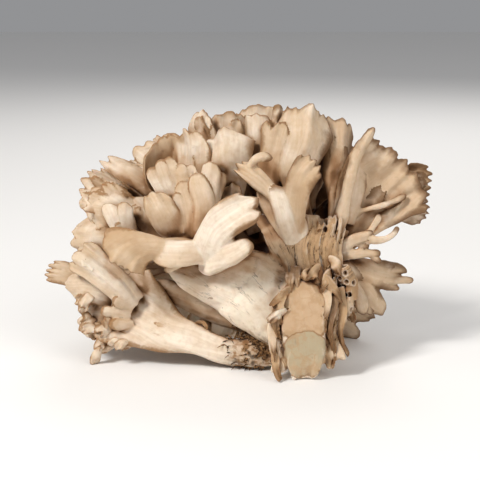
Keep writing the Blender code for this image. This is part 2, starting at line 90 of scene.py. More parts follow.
soft_lamp("key", (-0.7, -0.7, 0.95), 0.3, 14.8, (1.0, 0.975, 0.94))
soft_lamp("fill", (0.75, -0.75, 0.7), 0.9, 5.0, (1.0, 0.97, 0.93))
soft_lamp("back", (0.25, 0.9, 0.85), 0.8, 5, (1.0, 0.98, 0.95))

world = bpy.data.worlds.new("studio")
world.use_nodes = True
sky = world.node_tree.nodes["Background"].inputs
sky["Color"].default_value = (0.96, 0.97, 1.0, 1)
sky["Strength"].default_value = 0.3
bpy.context.scene.world = world
bpy.context.scene.view_settings.view_transform = "Standard"

floor_mesh = bpy.data.meshes.new("floor")
corners = [(x, y, 0) for y in (-CARD_REACH, CARD_REACH) for x in (-CARD_REACH, CARD_REACH)]
floor_mesh.from_pydata(corners, [], [(0, 1, 3, 2)])
card, _, _ = matter("pale card", Base_Color=(0.90, 0.89, 0.875, 1), Roughness=0.9)
floor_mesh.materials.append(card)
floor = new_object("floor", floor_mesh)

# ---------------------------------------------------------------- the stem
# One branching stem of firm white flesh, fibrous and browned on its right side, cut across with a knife
# at the front. It grew as one piece with every frond; limbs of it carry them all.
CUT_FACE = ((33, -64, 13), (-0.05, -1, 0.12))     # the knife's cut across it: a point, mm, and its direction
TRIM_FACE = ((27, -56, 38), (-0.1, -0.86, 0.5))   # the shallow slice above that
BEND = 0.9                # how far the slow bends of the flesh carry it, mm
RUFFLE = 0.9              # height of the finer waves of a rim, mm
NICK = 0.018              # depth of a rim's unevenness, as a share of the blade's length
MIDDLING = 15             # half width of a middling cap, mm; wider ones have more waves and nicks
BUDDED_FROM = 6.5         # half width from which a cap's face splits into small lobes, mm
BUD_SPACING = 2.8         # half width of cap to each of those lobes, mm
BLADE_STEP = 0.8          # spacing of the points of a loose blade, mm


def unit(v):
    """A vector, or each of many, brought to length 1."""
    return v / np.maximum(np.linalg.norm(v, axis=-1, keepdims=True), 1e-9)


def ease(x):
    """0 below 0, 1 above 1 and a soft slope between."""
    x = np.clip(x, 0, 1)
    return x * x * (3 - 2 * x)


def cap(root, tip, spread, **more):
    """A fan-shaped cap that opens from a narrow neck, from its root to the middle of its rim, in mm.

    neck and spread are its half widths and thick and body its depths, at the root and at the rim. bow
    carries its middle aside, and face is the way its pore side looks. kind is 0 for a cap and 1 for stem.
    """
    shape = dict(root=root, tip=tip, spread=spread, neck=spread / 3, bow=(0, 0, 0), face=(0, -1, 0),
                 turn=None, thick=6, body=3, rim=1.3, opens=0.15, power=0.9, rounded=0.4, lobes=3,
                 depth=0.025, phase=0, cup=0, wave=0, waves=2, curl=-1.5, profile=4, kind=0, ruffle=0.9,
                 nicks=0.6, buds=1, tone=None)
    shape.update(more)
    return shape


def finger(root, tip, spread, **more):
    """A narrow fleshy lobe, round or tongue-shaped."""
    usual = dict(neck=spread * 0.8, body=4, rim=1.8, opens=0, power=1, rounded=0.4, profile=2.6, depth=0,
                 curl=0, kind=0.5, ruffle=0.4, nicks=0.3)
    return cap(root, tip, spread, **{**usual, **more})


def limb(root, tip, neck, spread, thick, body, **more):
    """A stout round piece of the stem."""
    usual = dict(neck=neck, thick=thick, body=body, rim=2.4, opens=0, power=1, rounded=0, profile=2, depth=0,
                 curl=0, kind=1, ruffle=0, nicks=0)
    return cap(root, tip, spread, **{**usual, **more})


def warp(p):
    """Slow bends, so that no edge looks drawn with a ruler; each wave's length is in mm."""
    x, y, z = p[..., 0], p[..., 1], p[..., 2]
    turn = 2 * math.pi
    dx = np.sin(turn * (z / 47 + y / 61) + 0.7) + 0.5 * np.sin(turn * (y / 23 + z / 29) + 2.1)
    dy = np.sin(turn * (x / 53 + z / 67) + 1.9) + 0.5 * np.sin(turn * (x / 27 + z / 21) + 0.4)
    dz = np.sin(turn * (x / 43 + y / 59) + 3.3) + 0.5 * np.sin(turn * (y / 25 - x / 31) + 1.2)
    return p + BEND * np.stack([dx, dy, dz], -1)


def ripple(x, draw, low, high, count=5):
    """An uneven wave of unit height: sines of drawn lengths and phases."""
    total = 0
    for _ in range(count):
        total = total + np.sin(x * draw.uniform(low, high) + draw.uniform(0, 6.3))
    return total / math.sqrt(count)


def spine(b, t):
    """The middle line of a blade at shares t of its length: places, and the ways across and out of it."""
    t = np.asarray(t, float)[..., None]
    root, tip = np.array(b["root"], float), np.array(b["tip"], float)
    middle = (root + tip) / 2 + np.array(b["bow"], float)
    centre = (1 - t) ** 2 * root + 2 * t * (1 - t) * middle + t ** 2 * tip
    along = unit(2 * (1 - t) * (middle - root) + 2 * t * (tip - middle))
    first, last = unit(np.array(b["face"], float)), unit(np.array(b["turn"] or b["face"], float))
    face = first * (1 - t) + last * t
    normal = unit(face - (face * along).sum(-1, keepdims=True) * along)
    return centre, np.cross(along, normal), normal


def half_width(b, s):
    """Half the width of a blade at shares s of its rows, and how far it has opened there."""
    opened = np.clip((s - b["opens"]) / (1 - b["opens"]), 0, 1) ** b["power"]
    return b["neck"] + (b["spread"] - b["neck"]) * opened, opened


def sheets(b, step, draw):
    """The pore side and top of one blade as grids of points, with what the skin needs to know there."""
    length = math.dist(b["root"], b["tip"])
    rows = int(length / step) + 3
    cols = int(2 * max(b["spread"], b["neck"]) / step) + 5
    s = np.linspace(0, 1, rows)[:, None]
    v = np.linspace(-1, 1, cols)[None, :]
    v = (v + np.sin(v * math.pi / 2)) / 2
    shoulder = b["rounded"] * min(1, 2.5 * b["spread"] / length)
    reach = 1 - shoulder * (1 - np.sqrt(1 - 0.97 * np.abs(v) ** 2.4)) / 0.83
    scallop = 2 * np.abs(np.cos(math.pi / 2 * b["lobes"] * v + b["phase"])) ** 0.6 - 1.3
    reach = reach + b["depth"] * scallop * ease(s)
    size = b["spread"] / MIDDLING
    reach = reach + b["nicks"] * NICK * ripple(v, draw, 6 * size + 4, 26 * size + 8) * ease(s) ** 2
    for _ in range(int(b["nicks"] * size * 2.5)):
        notch = draw.uniform(0.03, 0.1)
        reach = reach - notch * np.exp(-((v - draw.uniform(-0.85, 0.85)) / 0.045) ** 2) * ease(s) ** 3
    t = s * reach
    centre, side, normal = spine(b, t)
    width, opened = half_width(b, s)
    lift = b["cup"] * v ** 2 * opened
    lift = lift + b["wave"] * np.sin(math.pi * b["waves"] * v + b["phase"] + 0.5) * ease(s * 1.4 - 0.4)
    lift = lift + b["curl"] * ease(s * 1.8 - 0.8)
    ruffled = b["ruffle"] * RUFFLE * ripple(v, draw, 4 * size + 2, 12 * size + 3)
    lift = lift + ruffled * ease(s * 1.5 - 0.5) ** 2
    p = centre + side * (v * width)[..., None] + normal * lift[..., None]
    square = 2 + (b["profile"] - 2) * ease(t * 1.2)
    across = np.clip(1 - np.abs(v) ** square, 0, 1) ** (1 / square)
    ahead = np.clip(1 - s ** 6, 0, 1) ** 0.4
    body = b["thick"] + (b["body"] - b["thick"]) * ease(t)
    half = (b["rim"] + np.maximum(body - b["rim"], 0) * across * ahead) / 2
    # how far the rim is, mm; roots, fingers and limbs count as further in, so that they brown less
    edge = np.minimum((1 - np.abs(v)) * width + 6 * b["kind"], (1 - s) * length * reach)
    edge = edge + 6 * (1 - ease(s * 2 - 0.5)) + 9 * (b["kind"] == 1)
    flow = np.stack([v * width, t * length, np.full_like(t, draw.uniform(0, 200))], -1)
    fleshy = np.maximum(b["kind"] * np.ones_like(t), 1 - ease(t * 2.2))
    tone = draw.uniform(0.0, 0.4) if b["tone"] is None else b["tone"]
    facts = dict(flow=flow, skin=(edge, fleshy), thick=2 * half, tone=np.full_like(t, tone))
    return warp(p + normal * half[..., None]), warp(p - normal * half[..., None]), facts


def budded(blades, seed):
    """The blades, and on each large cap the small lobes that split from its face on their way to the rim."""
    draw = random.Random(seed)
    grown = list(blades)
    for b in blades:
        if b["kind"] or b["spread"] < BUDDED_FROM:
            continue
        for _ in range(int(b["buds"] * b["spread"] / BUD_SPACING)):
            across = draw.uniform(-0.8, 0.8)
            near, far = draw.uniform(0.3, 0.55), draw.uniform(0.72, 0.93)
            ends = []
            for share, lean, rise in ((near, 0.75, -0.5), (far, 1.0, draw.uniform(-1.5, 3.5))):
                centre, side, normal = spine(b, share)
                width, opened = half_width(b, share)
                lift = b["cup"] * across ** 2 * opened + rise + b["curl"] * ease(share * 1.8 - 0.8)
                ends.append(tuple(centre + side * across * lean * width + normal * lift))
            face = tuple(normal + side * draw.uniform(-0.5, 0.5))
            grown.append(cap(*ends, draw.uniform(2.4, 0.16 * b["spread"] + 3.2), neck=1.6, thick=3.5,
                             body=2.2, bow=tuple(normal * draw.uniform(0, 2.5)), face=face,
                             rounded=draw.uniform(0.3, 0.8), cup=draw.uniform(-1.5, 1.5),
                             curl=draw.uniform(-2, 1), depth=0.06, lobes=4, phase=draw.uniform(0, 6),
                             opens=0))
    return grown


# What each point of a blade knows: the fibre's course; its side, how far it is from the rim and how fleshy;
# its thickness; its tone
KNOWN = (("flow", "FLOAT_VECTOR"), ("skin", "FLOAT_VECTOR"), ("thick", "FLOAT"), ("tone", "FLOAT"))


def blades_mesh(name, blades, step, seed):
    """All the blades of a piece as one loose mesh, each point knowing its fibre, rim and side."""
    draw = random.Random(seed)
    points, faces, known = [], [], {key: [] for key, _ in KNOWN}
    count = 0
    for b in blades:
        under, top, facts = sheets(b, step, draw)
        rows, cols = facts["thick"].shape
        layer = rows * cols
        index = np.arange(layer).reshape(rows, cols)
        lower = np.stack([index[:-1, :-1], index[1:, :-1], index[1:, 1:], index[:-1, 1:]], -1)
        lower = lower.reshape(-1, 4)
        ring = np.concatenate([index[:, 0], index[-1, 1:], index[-2::-1, -1], index[0, -2:0:-1]])
        after = np.roll(ring, -1)
        band = np.stack([after, ring, ring + layer, after + layer], -1)
        faces.append(np.concatenate([lower, lower[:, ::-1] + layer, band]) + count)
        count += 2 * layer
        for pore, sheet in ((1, under), (0, top)):
            points.append(sheet.reshape(-1, 3))
            told = {**facts, "skin": np.stack([np.full((rows, cols), pore), *facts["skin"]], -1)}
            for key, values in known.items():
                values.append(told[key].ravel())
    points = (np.concatenate(points) + SETTLE) * MM
    faces = np.concatenate(faces)
    mesh = bpy.data.meshes.new(name)
    mesh.vertices.add(len(points))
    mesh.vertices.foreach_set("co", points.astype(np.float32).ravel())
    mesh.loops.add(faces.size)
    mesh.loops.foreach_set("vertex_index", faces.astype(np.int32).ravel())
    mesh.polygons.add(len(faces))
    mesh.polygons.foreach_set("loop_start", np.arange(0, faces.size, 4, dtype=np.int32))
    mesh.update(calc_edges=True)
    for key, kind in KNOWN:
        field = mesh.attributes.new(key, kind, "POINT")
        field.data.foreach_set("vector" if kind == "FLOAT_VECTOR" else "value",
                               np.concatenate(known[key]).astype(np.float32))
    bm = bmesh.new()
    bm.from_mesh(mesh)
    bmesh.ops.recalc_face_normals(bm, faces=bm.faces)
    bm.to_mesh(mesh)
    bm.free()
    return mesh


def add_node(tree, kind, feeds=None, **settings):
    """A node with its settings, fed from values or from other nodes' sockets."""
    node = tree.nodes.new(kind)
    for key, value in settings.items():
        setattr(node, key, value)
    for key, value in (feeds or {}).items():
        if isinstance(value, bpy.types.NodeSocket):
            tree.links.new(value, node.inputs[key])
        else:
            node.inputs[key].default_value = value
    return node


def sockets(tree, outputs, **inputs):
    """Give a node group its outputs and its inputs, each a kind of socket or the number it starts at."""
    for name, value in inputs.items():
        kind = value if isinstance(value, str) else type(value).__name__.capitalize()
        socket = tree.interface.new_socket(name, in_out="INPUT", socket_type="NodeSocket" + kind)
        if kind != value:
            socket.default_value = value
    for name, kind in outputs.items():
        tree.interface.new_socket(name, in_out="OUTPUT", socket_type="NodeSocket" + kind)
    return tree.nodes.new("NodeGroupInput").outputs, tree.nodes.new("NodeGroupOutput").inputs


def maths(tree, operation, *values):
    """One Math node and its result."""
    return add_node(tree, "ShaderNodeMath", dict(enumerate(values)), operation=operation).outputs[0]


def times(tree, product, *factors):
    """The product of some values."""
    for factor in factors:
        product = maths(tree, "MULTIPLY", product, factor)
    return product


def centred(tree, noise):
    """Noise brought down to lie about zero."""
    return maths(tree, "SUBTRACT", noise, 0.5)


def vector_maths(tree, operation, *values):
    """One Vector Math node and its result, which some operations give as a number."""
    node = add_node(tree, "ShaderNodeVectorMath", dict(enumerate(values)), operation=operation)
    return node.outputs["Value" if operation in ("DOT_PRODUCT", "LENGTH", "DISTANCE") else "Vector"]


def scaled(tree, vector, factor):
    """A vector times a number."""
    return add_node(tree, "ShaderNodeVectorMath", {0: vector, "Scale": factor}, operation="SCALE").outputs[0]


def axis_of(tree, vector, axis):
    """One coordinate of a vector."""
    return add_node(tree, "ShaderNodeSeparateXYZ", {0: vector}).outputs[axis]


def remap(tree, value, low, high, to_low=0.0, to_high=1.0):
    """A value brought smoothly from one range to another."""
    ranges = {"Value": value, "From Min": low, "From Max": high, "To Min": to_low, "To Max": to_high}
    return add_node(tree, "ShaderNodeMapRange", ranges, interpolation_type="SMOOTHSTEP").outputs[0]


def place_noise(tree, place, scale, detail=2.0):
    """Noise through space, scale cells a metre."""
    feeds = {"Vector": place, "Scale": scale, "Detail": detail}
    return add_node(tree, "ShaderNodeTexNoise", feeds).outputs[0]


def clouds(tree, place, scale, detail, low, high, to_low=0.0, to_high=1.0):
    """A mask of soft clouds, made of noise through space."""
    return remap(tree, place_noise(tree, place, scale, detail), low, high, to_low, to_high)


def strayed(tree, value, place, scale, detail, amount):
    """A value carried to either side by noise through space."""
    stray = times(tree, centred(tree, place_noise(tree, place, scale, detail)), amount)
    return maths(tree, "ADD", value, stray)


def drawn_noise(tree, flow, across, along, detail, rough=0.6):
    """Noise drawn out along the fibres: across and along are how many cells fit in a millimetre."""
    cells = add_node(tree, "ShaderNodeCombineXYZ", {0: across, 1: along, 2: 1.0}).outputs[0]
    stretched = vector_maths(tree, "MULTIPLY", flow, cells)
    feeds = {"Vector": stretched, "Scale": 1.0, "Detail": detail, "Roughness": rough}
    return add_node(tree, "ShaderNodeTexNoise", feeds).outputs[0]


def pitted(tree, place, floor_of_pit, brim):
    """A mask of small round pits, at the same places in the surface and in the skin."""
    cells = add_node(tree, "ShaderNodeTexVoronoi", {"Vector": place, "Scale": 290.0}).outputs[0]
    return remap(tree, cells, floor_of_pit, brim, 1.0, 0.0)


def stored(tree, key, kind="FLOAT"):
    """An attribute of the geometry at hand."""
    return add_node(tree, "GeometryNodeInputNamedAttribute", {"Name": key}, data_type=kind).outputs[0]


def store(tree, geometry, key, value, kind="FLOAT"):
    """The geometry with one more attribute, a value for each point."""
    feeds = {"Geometry": geometry, "Name": key, "Value": value}
    return add_node(tree, "GeometryNodeStoreNamedAttribute", feeds, data_type=kind, domain="POINT").outputs[0]


def evened(tree, value, rounds, kind="FLOAT", weight=1.0):
    """A value evened out between neighbouring points."""
    feeds = {"Value": value, "Iterations": rounds, "Weight": weight}
    return add_node(tree, "GeometryNodeBlurAttribute", feeds, data_type=kind).outputs[0]


# Geometry Nodes tree: the remeshed flesh takes its fibre, rim and side from the loose blades, melts where
# they are thick, and swells in lumps and lengthwise ridges.
SWELL = 4                 # how far a full rise lifts the surface, mm
flesh_tree = bpy.data.node_groups.new("flesh surface", "GeometryNodeTree")
given, result = sockets(flesh_tree, {"Shaped": "Geometry"}, Geometry="Geometry", Blades="Object", Melt=6,
                        Lump=0.4, Ridge=0.25, Fibre=0.3, Pit=0.0, Skin="Material")
loose_blades = add_node(flesh_tree, "GeometryNodeObjectInfo", {"Object": given["Blades"]}).outputs["Geometry"]
shaped = given["Geometry"]
for key, kind in KNOWN:
    feeds = {"Mesh": loose_blades, "Value": stored(flesh_tree, key, kind)}
    nearest = add_node(flesh_tree, "GeometryNodeSampleNearestSurface", feeds, data_type=kind).outputs[0]
    shaped = store(flesh_tree, shaped, key, nearest, kind)
shaped = store(flesh_tree, shaped, "tone", evened(flesh_tree, stored(flesh_tree, "tone"), 5))
place = add_node(flesh_tree, "GeometryNodeInputPosition").outputs[0]
soften = remap(flesh_tree, stored(flesh_tree, "thick"), 2.0, 8.0, 0.12, 1.0)
melted = evened(flesh_tree, place, given["Melt"], "FLOAT_VECTOR", soften)
shaped = add_node(flesh_tree, "GeometryNodeSetPosition", {"Geometry": shaped, "Position": melted}).outputs[0]
flow = stored(flesh_tree, "flow", "FLOAT_VECTOR")
skin_known = stored(flesh_tree, "skin", "FLOAT_VECTOR")
lumps = centred(flesh_tree, place_noise(flesh_tree, place, 75.0))
ridges = centred(flesh_tree, drawn_noise(flesh_tree, flow, 0.42, 0.035, 2.0, 0.5))
fibres = centred(flesh_tree, drawn_noise(flesh_tree, flow, 0.85, 0.05, 1.5, 0.5))
inside_rim = remap(flesh_tree, axis_of(flesh_tree, skin_known, 1), 0.6, 5.0, 0.25, 1.0)
fleshiness = axis_of(flesh_tree, skin_known, 2)
pits = pitted(flesh_tree, place, 0.1, 0.42)
rise = times(flesh_tree, lumps, given["Lump"])
for operation, relief in (("ADD", times(flesh_tree, given["Ridge"], inside_rim, ridges)),
                          ("ADD", times(flesh_tree, given["Fibre"], fleshiness, fibres)),
                          ("SUBTRACT", times(flesh_tree, pits, given["Pit"]))):
    rise = maths(flesh_tree, operation, rise, relief)
outward = add_node(flesh_tree, "GeometryNodeInputNormal").outputs[0]
push = scaled(flesh_tree, outward, times(flesh_tree, rise, SWELL * MM))
for kind, feeds in (("SetPosition", {"Offset": push}), ("SetShadeSmooth", {}),
                    ("SetMaterial", {"Material": given["Skin"]})):
    shaped = add_node(flesh_tree, "GeometryNode" + kind, {"Geometry": shaped, **feeds}).outputs[0]
flesh_tree.links.new(shaped, result["Shaped"])


def set_input(modifier, name, value):
    """Set a Geometry Nodes input by its socket's identifier."""
    for item in modifier.node_group.interface.items_tree:
        if item.item_type == "SOCKET" and item.in_out == "INPUT" and item.name == name:
            modifier[item.identifier] = value


def baked(obj):
    """The object's evaluated mesh, with its modifiers dropped."""
    mesh = bpy.data.meshes.new_from_object(obj.evaluated_get(bpy.context.evaluated_depsgraph_get()))
    obj.modifiers.clear()
    return mesh


def flatten(mesh, planes=()):
    """Press the flesh flat on the ground, and slice it at the knife's planes."""
    points = np.empty(len(mesh.vertices) * 3, np.float32)
    mesh.vertices.foreach_get("co", points)
    points = points.reshape(-1, 3)
    points[:, 2] = np.maximum(points[:, 2], 0)
    for centre, outward in planes:
        outward = unit(np.array(outward, float))
        centre = (np.array(centre, float) + SETTLE) * MM
        past = np.maximum((points - centre) @ outward, 0)
        points -= past[:, None] * outward
    mesh.vertices.foreach_set("co", points.astype(np.float32).ravel())
    mesh.update()


def grow(name, nodes, blades, skin, seed, voxel=0.7, keep=0.62, planes=(), melt=5, lump=0.5, ridge=0.1,
         fibre=0.08, pit=0.0):
    """Fuse blades into one fleshy piece that stands for its solid.

    voxel is the grain of the fused flesh, mm; keep is the share of its triangles that stay.
    """
    all_blades = budded(blades, seed)
    loose = new_object(name + "_blades", blades_mesh(name + "_blades", all_blades, BLADE_STEP, seed))
    flatten(loose.data, planes)
    piece = new_object(name, loose.data.copy())
    fuse = piece.modifiers.new("fuse", "REMESH")
    fuse.mode = "VOXEL"
    fuse.voxel_size = voxel * MM
    surface = piece.modifiers.new("surface", "NODES")
    surface.node_group = flesh_tree
    for key, value in dict(Blades=loose, Melt=melt, Lump=lump, Ridge=ridge, Fibre=fibre, Pit=pit,
                           Skin=skin).items():
        set_input(surface, key, value)
    piece.modifiers.new("thin", "DECIMATE").ratio = keep
    mesh = baked(piece)
    flatten(mesh, planes)
    piece.data = mesh
    bpy.data.objects.remove(loose)
    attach(piece, "root")
    if nodes:
        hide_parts(*nodes)
    return piece


# Shader node group: the fibres of the flesh. Streaks run along the flow; puts out a broad and a fine mask
# and a height for bump.
FINER = 3.3               # how much closer the fine streaks lie than the broad ones
fibre_group = bpy.data.node_groups.new("fibres", "ShaderNodeTree")
given, result = sockets(fibre_group, dict(Broad="Float", Fine="Float", Height="Float"), Flow="Vector",
                        Across=0.8, Along=0.05)
broad = drawn_noise(fibre_group, given["Flow"], given["Across"], given["Along"], 3.0)
fine = drawn_noise(fibre_group, given["Flow"], times(fibre_group, given["Across"], FINER),
                   times(fibre_group, given["Along"], FINER), 3.0)
fibre_group.links.new(remap(fibre_group, broad, 0.35, 0.65), result["Broad"])
fibre_group.links.new(remap(fibre_group, fine, 0.3, 0.7), result["Fine"])
fibre_group.links.new(maths(fibre_group, "ADD", broad, times(fibre_group, fine, 0.45)), result["Height"])

# Shader node group: browning and painted shade. Flesh browns along its rims, deeper towards the right than on
# the left, and in stray spots; its crevices, where little sky is seen, get a mask of painted shade.
brown_and_shade_group = bpy.data.node_groups.new("browning and painted shade", "ShaderNodeTree")
given, result = sockets(brown_and_shade_group, dict(Rim="Float", Crevice="Float", Spots="Float"), Place="Vector",
                        Edge=5.0, Open=1.0)
rightward = remap(brown_and_shade_group, axis_of(brown_and_shade_group, given["Place"], 0), -0.07, 0.09)
patchy = place_noise(brown_and_shade_group, given["Place"], 90.0)
browned_depth = times(brown_and_shade_group, remap(brown_and_shade_group, patchy, 0.35, 0.68, 0.7, 2.0),
                      remap(brown_and_shade_group, rightward, 0.0, 1.0, 1.0, 2.8), 1.1)
ragged_edge = strayed(brown_and_shade_group, given["Edge"], given["Place"], 700.0, 2.0, 1.4)
spots = clouds(brown_and_shade_group, given["Place"], 260.0, 3.0, 0.66, 0.76)
# Rim and Spots are browning; the crevice mask is painted shade where little sky is seen
for key, mask in (("Rim", remap(brown_and_shade_group, ragged_edge, 0.0, browned_depth, 1.0, 0.0)),
                  ("Crevice", remap(brown_and_shade_group, given["Open"], 0.12, 0.88, 1.0, 0.0)),
                  ("Spots", times(brown_and_shade_group, spots, remap(brown_and_shade_group, patchy, 0.45, 0.62)))):
    brown_and_shade_group.links.new(mask, result[key])

# Shader node group: a knife cut. 1 on the plane that the knife left, 0 inside the flesh, with a frayed edge.
cut_group = bpy.data.node_groups.new("knife cut", "ShaderNodeTree")
given, result = sockets(cut_group, {"Cut": "Float"}, Place="Vector", Centre="Vector", Outward="Vector",
                        Radius=0.02)
from_centre = vector_maths(cut_group, "SUBTRACT", given["Place"], given["Centre"])
past_plane = vector_maths(cut_group, "DOT_PRODUCT", from_centre, given["Outward"])
past_plane = strayed(cut_group, past_plane, given["Place"], 420.0, 3.0, 1.6 * MM)
off_centre = maths(cut_group, "DIVIDE", vector_maths(cut_group, "LENGTH", from_centre), given["Radius"])
off_centre = strayed(cut_group, off_centre, given["Place"], 150.0, 4.0, 0.35)
sliced = times(cut_group, remap(cut_group, past_plane, -2.4 * MM, -1.4 * MM),
               remap(cut_group, off_centre, 0.9, 1.0, 1.0, 0.0))
cut_group.links.new(sliced, result["Cut"])

# Shader node group: a patch. A soft round area of given place and size with a wandering edge.
patch_group = bpy.data.node_groups.new("patch", "ShaderNodeTree")
given, result = sockets(patch_group, {"Patch": "Float"}, Place="Vector", Centre="Vector", Radius=0.01)
away = vector_maths(patch_group, "DISTANCE", given["Place"], given["Centre"])
away = maths(patch_group, "DIVIDE", away, given["Radius"])
away = strayed(patch_group, away, given["Place"], 160.0, 3.0, 1.3)
patch_group.links.new(remap(patch_group, away, 0.55, 1.05, 1.0, 0.0), result["Patch"])


def placed(tree, group, **feeds):
    """The outputs of a node group placed in a material."""
    return add_node(tree, "ShaderNodeGroup", feeds, node_tree=group).outputs


def at(x, y, z):
    """A place in the cluster, mm, as the skin's coordinates."""
    return ((x + SETTLE[0]) * MM, (y + SETTLE[1]) * MM, (z + SETTLE[2]) * MM)


def patch(tree, where, centre, radius):
    """A mask of one patch of skin: its middle and radius, mm."""
    return placed(tree, patch_group, Place=where, Centre=at(*centre), Radius=radius * MM)["Patch"]


def blend(tree, base, top, *masks, mode="MIX"):
    """One colour over another through the product of the masks; either may be a colour or a socket."""
    base, top = ((*colour, 1) if isinstance(colour, tuple) else colour for colour in (base, top))
    return add_node(tree, "ShaderNodeMix", {0: times(tree, *masks), 6: base, 7: top}, data_type="RGBA",
                    blend_type=mode).outputs[2]


def layered(tree, colour, *layers):
    """A colour with others laid over it in turn, each with its masks."""
    for top, *masks in layers:
        colour = blend(tree, colour, top, *masks)
    return colour


# pale flesh, fresh to stale
IVORY = (0.82, 0.72, 0.60)
CHALK = (0.84, 0.75, 0.61)
CREAM = (0.62, 0.465, 0.315)
TAN = (0.45, 0.29, 0.155)
HONEY = (0.44, 0.275, 0.14)
# browned flesh and bark
RUST = (0.29, 0.155, 0.065)
BROWN = (0.155, 0.075, 0.028)
UMBER = (0.045, 0.022, 0.010)
# painted shade, multiplied in: warm for flesh in the shade of its neighbours, dark for deep gaps and hollows;
# DEEP also darkens the stem's seams
SHADE_AMBER = (0.60, 0.37, 0.185)
DEEP = (0.09, 0.04, 0.016)
# the caps' weathered tops
TAUPE = (0.30, 0.215, 0.145)
SOOT = (0.13, 0.088, 0.058)
# flesh bared by the knife
SLICE = (0.51, 0.35, 0.215)
DISC = (0.44, 0.36, 0.235)
# the knife's slices: plane, middle and radius of the bared flesh, its colour, how strong its brown ring is
SLICES = ((TRIM_FACE, (32, -57, 36), 17, SLICE, 1.0), (CUT_FACE, (31.5, -64.5, 15.5), 12.5, DISC, 0.9))
# patches on the stem, each with its middle and radius, mm
HUB = ((12, -52, 33), 23)
COLUMN = ((40, -36, 60), 26)
CRUST = ((54, -43, 45), 14)
SOIL = ((6, -46, 11), 14)
# patches of brown bark: middle, radius and strength
BARK = (((45, -50, 25), 13, 0.9), ((44, -44, 42), 10, 0.8), ((19, -58, 16), 6, 0.5), ((2, -40, 14), 13, 0.6))
# dark scars where twigs and soil had grown in: middle and radius
SCARS = (((27, -46, 46), 5), ((52, -32, 46), 6), ((24, -52, 38), 3.5), ((31, -52, 41), 2.5),
         ((1, -44, 12), 8))


def stem_marks(tree, colour, where, flow):
    """The stem's marks: a tan wash growing towards its top, white hub, stained column, brown bark, scars and
    the two knife cuts.
    """
    colour = layered(tree, colour, (TAN, remap(tree, axis_of(tree, where, 2), 0.034, 0.060, 0.0, 0.6)),
                     (CHALK, patch(tree, where, *HUB), 0.65))
    seam = maths(tree, "ABSOLUTE", centred(tree, drawn_noise(tree, flow, 0.16, 0.022, 4.0)))
    colour = blend(tree, colour, DEEP, remap(tree, seam, 0.0, 0.014, 0.6, 0.0),
                   clouds(tree, where, 70.0, 2.0, 0.45, 0.6), mode="MULTIPLY")
    column = patch(tree, where, *COLUMN)
    run = remap(tree, drawn_noise(tree, flow, 0.5, 0.06, 4.0), 0.50, 0.66)
    crack = remap(tree, drawn_noise(tree, flow, 0.7, 0.04, 3.0), 0.55, 0.62)
    colour = layered(tree, colour, (RUST, column, run, 0.5), (HONEY, column, 0.45),
                     (UMBER, column, crack, 0.9))
    rough = remap(tree, drawn_noise(tree, flow, 0.55, 0.09, 5.0), 0.36, 0.58, 0.25, 1.0)
    split = remap(tree, drawn_noise(tree, flow, 1.12, 0.084, 4.0), 0.55, 0.62)
    for centre, radius, strength in BARK:
        bark = times(tree, patch(tree, where, centre, radius), rough)
        colour = layered(tree, colour, (RUST, bark, strength), (UMBER, bark, split, 0.9))
    crust = patch(tree, where, *CRUST)
    colour = layered(tree, colour, (RUST, crust, 0.4), (UMBER, crust, pitted(tree, where, 0.2, 0.46)))
    for centre, radius in SCARS:
        colour = blend(tree, colour, UMBER, patch(tree, where, centre, radius), 0.85)
    smudge = maths(tree, "ABSOLUTE", centred(tree, place_noise(tree, where, 85.0, 6.0)))
    for (point, outward), middle, radius, bared, ring in SLICES:
        outward = unit(np.array(outward, float))
        middle = np.array(middle, float)
        middle = middle - float((middle - np.array(point, float)) @ outward) * outward
        sliced = placed(tree, cut_group, Place=where, Centre=at(*middle), Outward=tuple(outward),
                        Radius=radius * MM)["Cut"]
        mottled = layered(tree, bared, (TAN, clouds(tree, where, 160.0, 6.0, 0.46, 0.64, 0.0, 0.7)),
                          (CREAM, clouds(tree, where, 95.0, 6.0, 0.52, 0.68, 0.0, 0.35)),
                          (TAN, remap(tree, smudge, 0.0, 0.03, 0.55, 0.0)))
        colour = layered(tree, colour, (mottled, sliced),
                         (RUST, sliced, maths(tree, "SUBTRACT", 1.0, sliced), 4 * ring))
    return colour


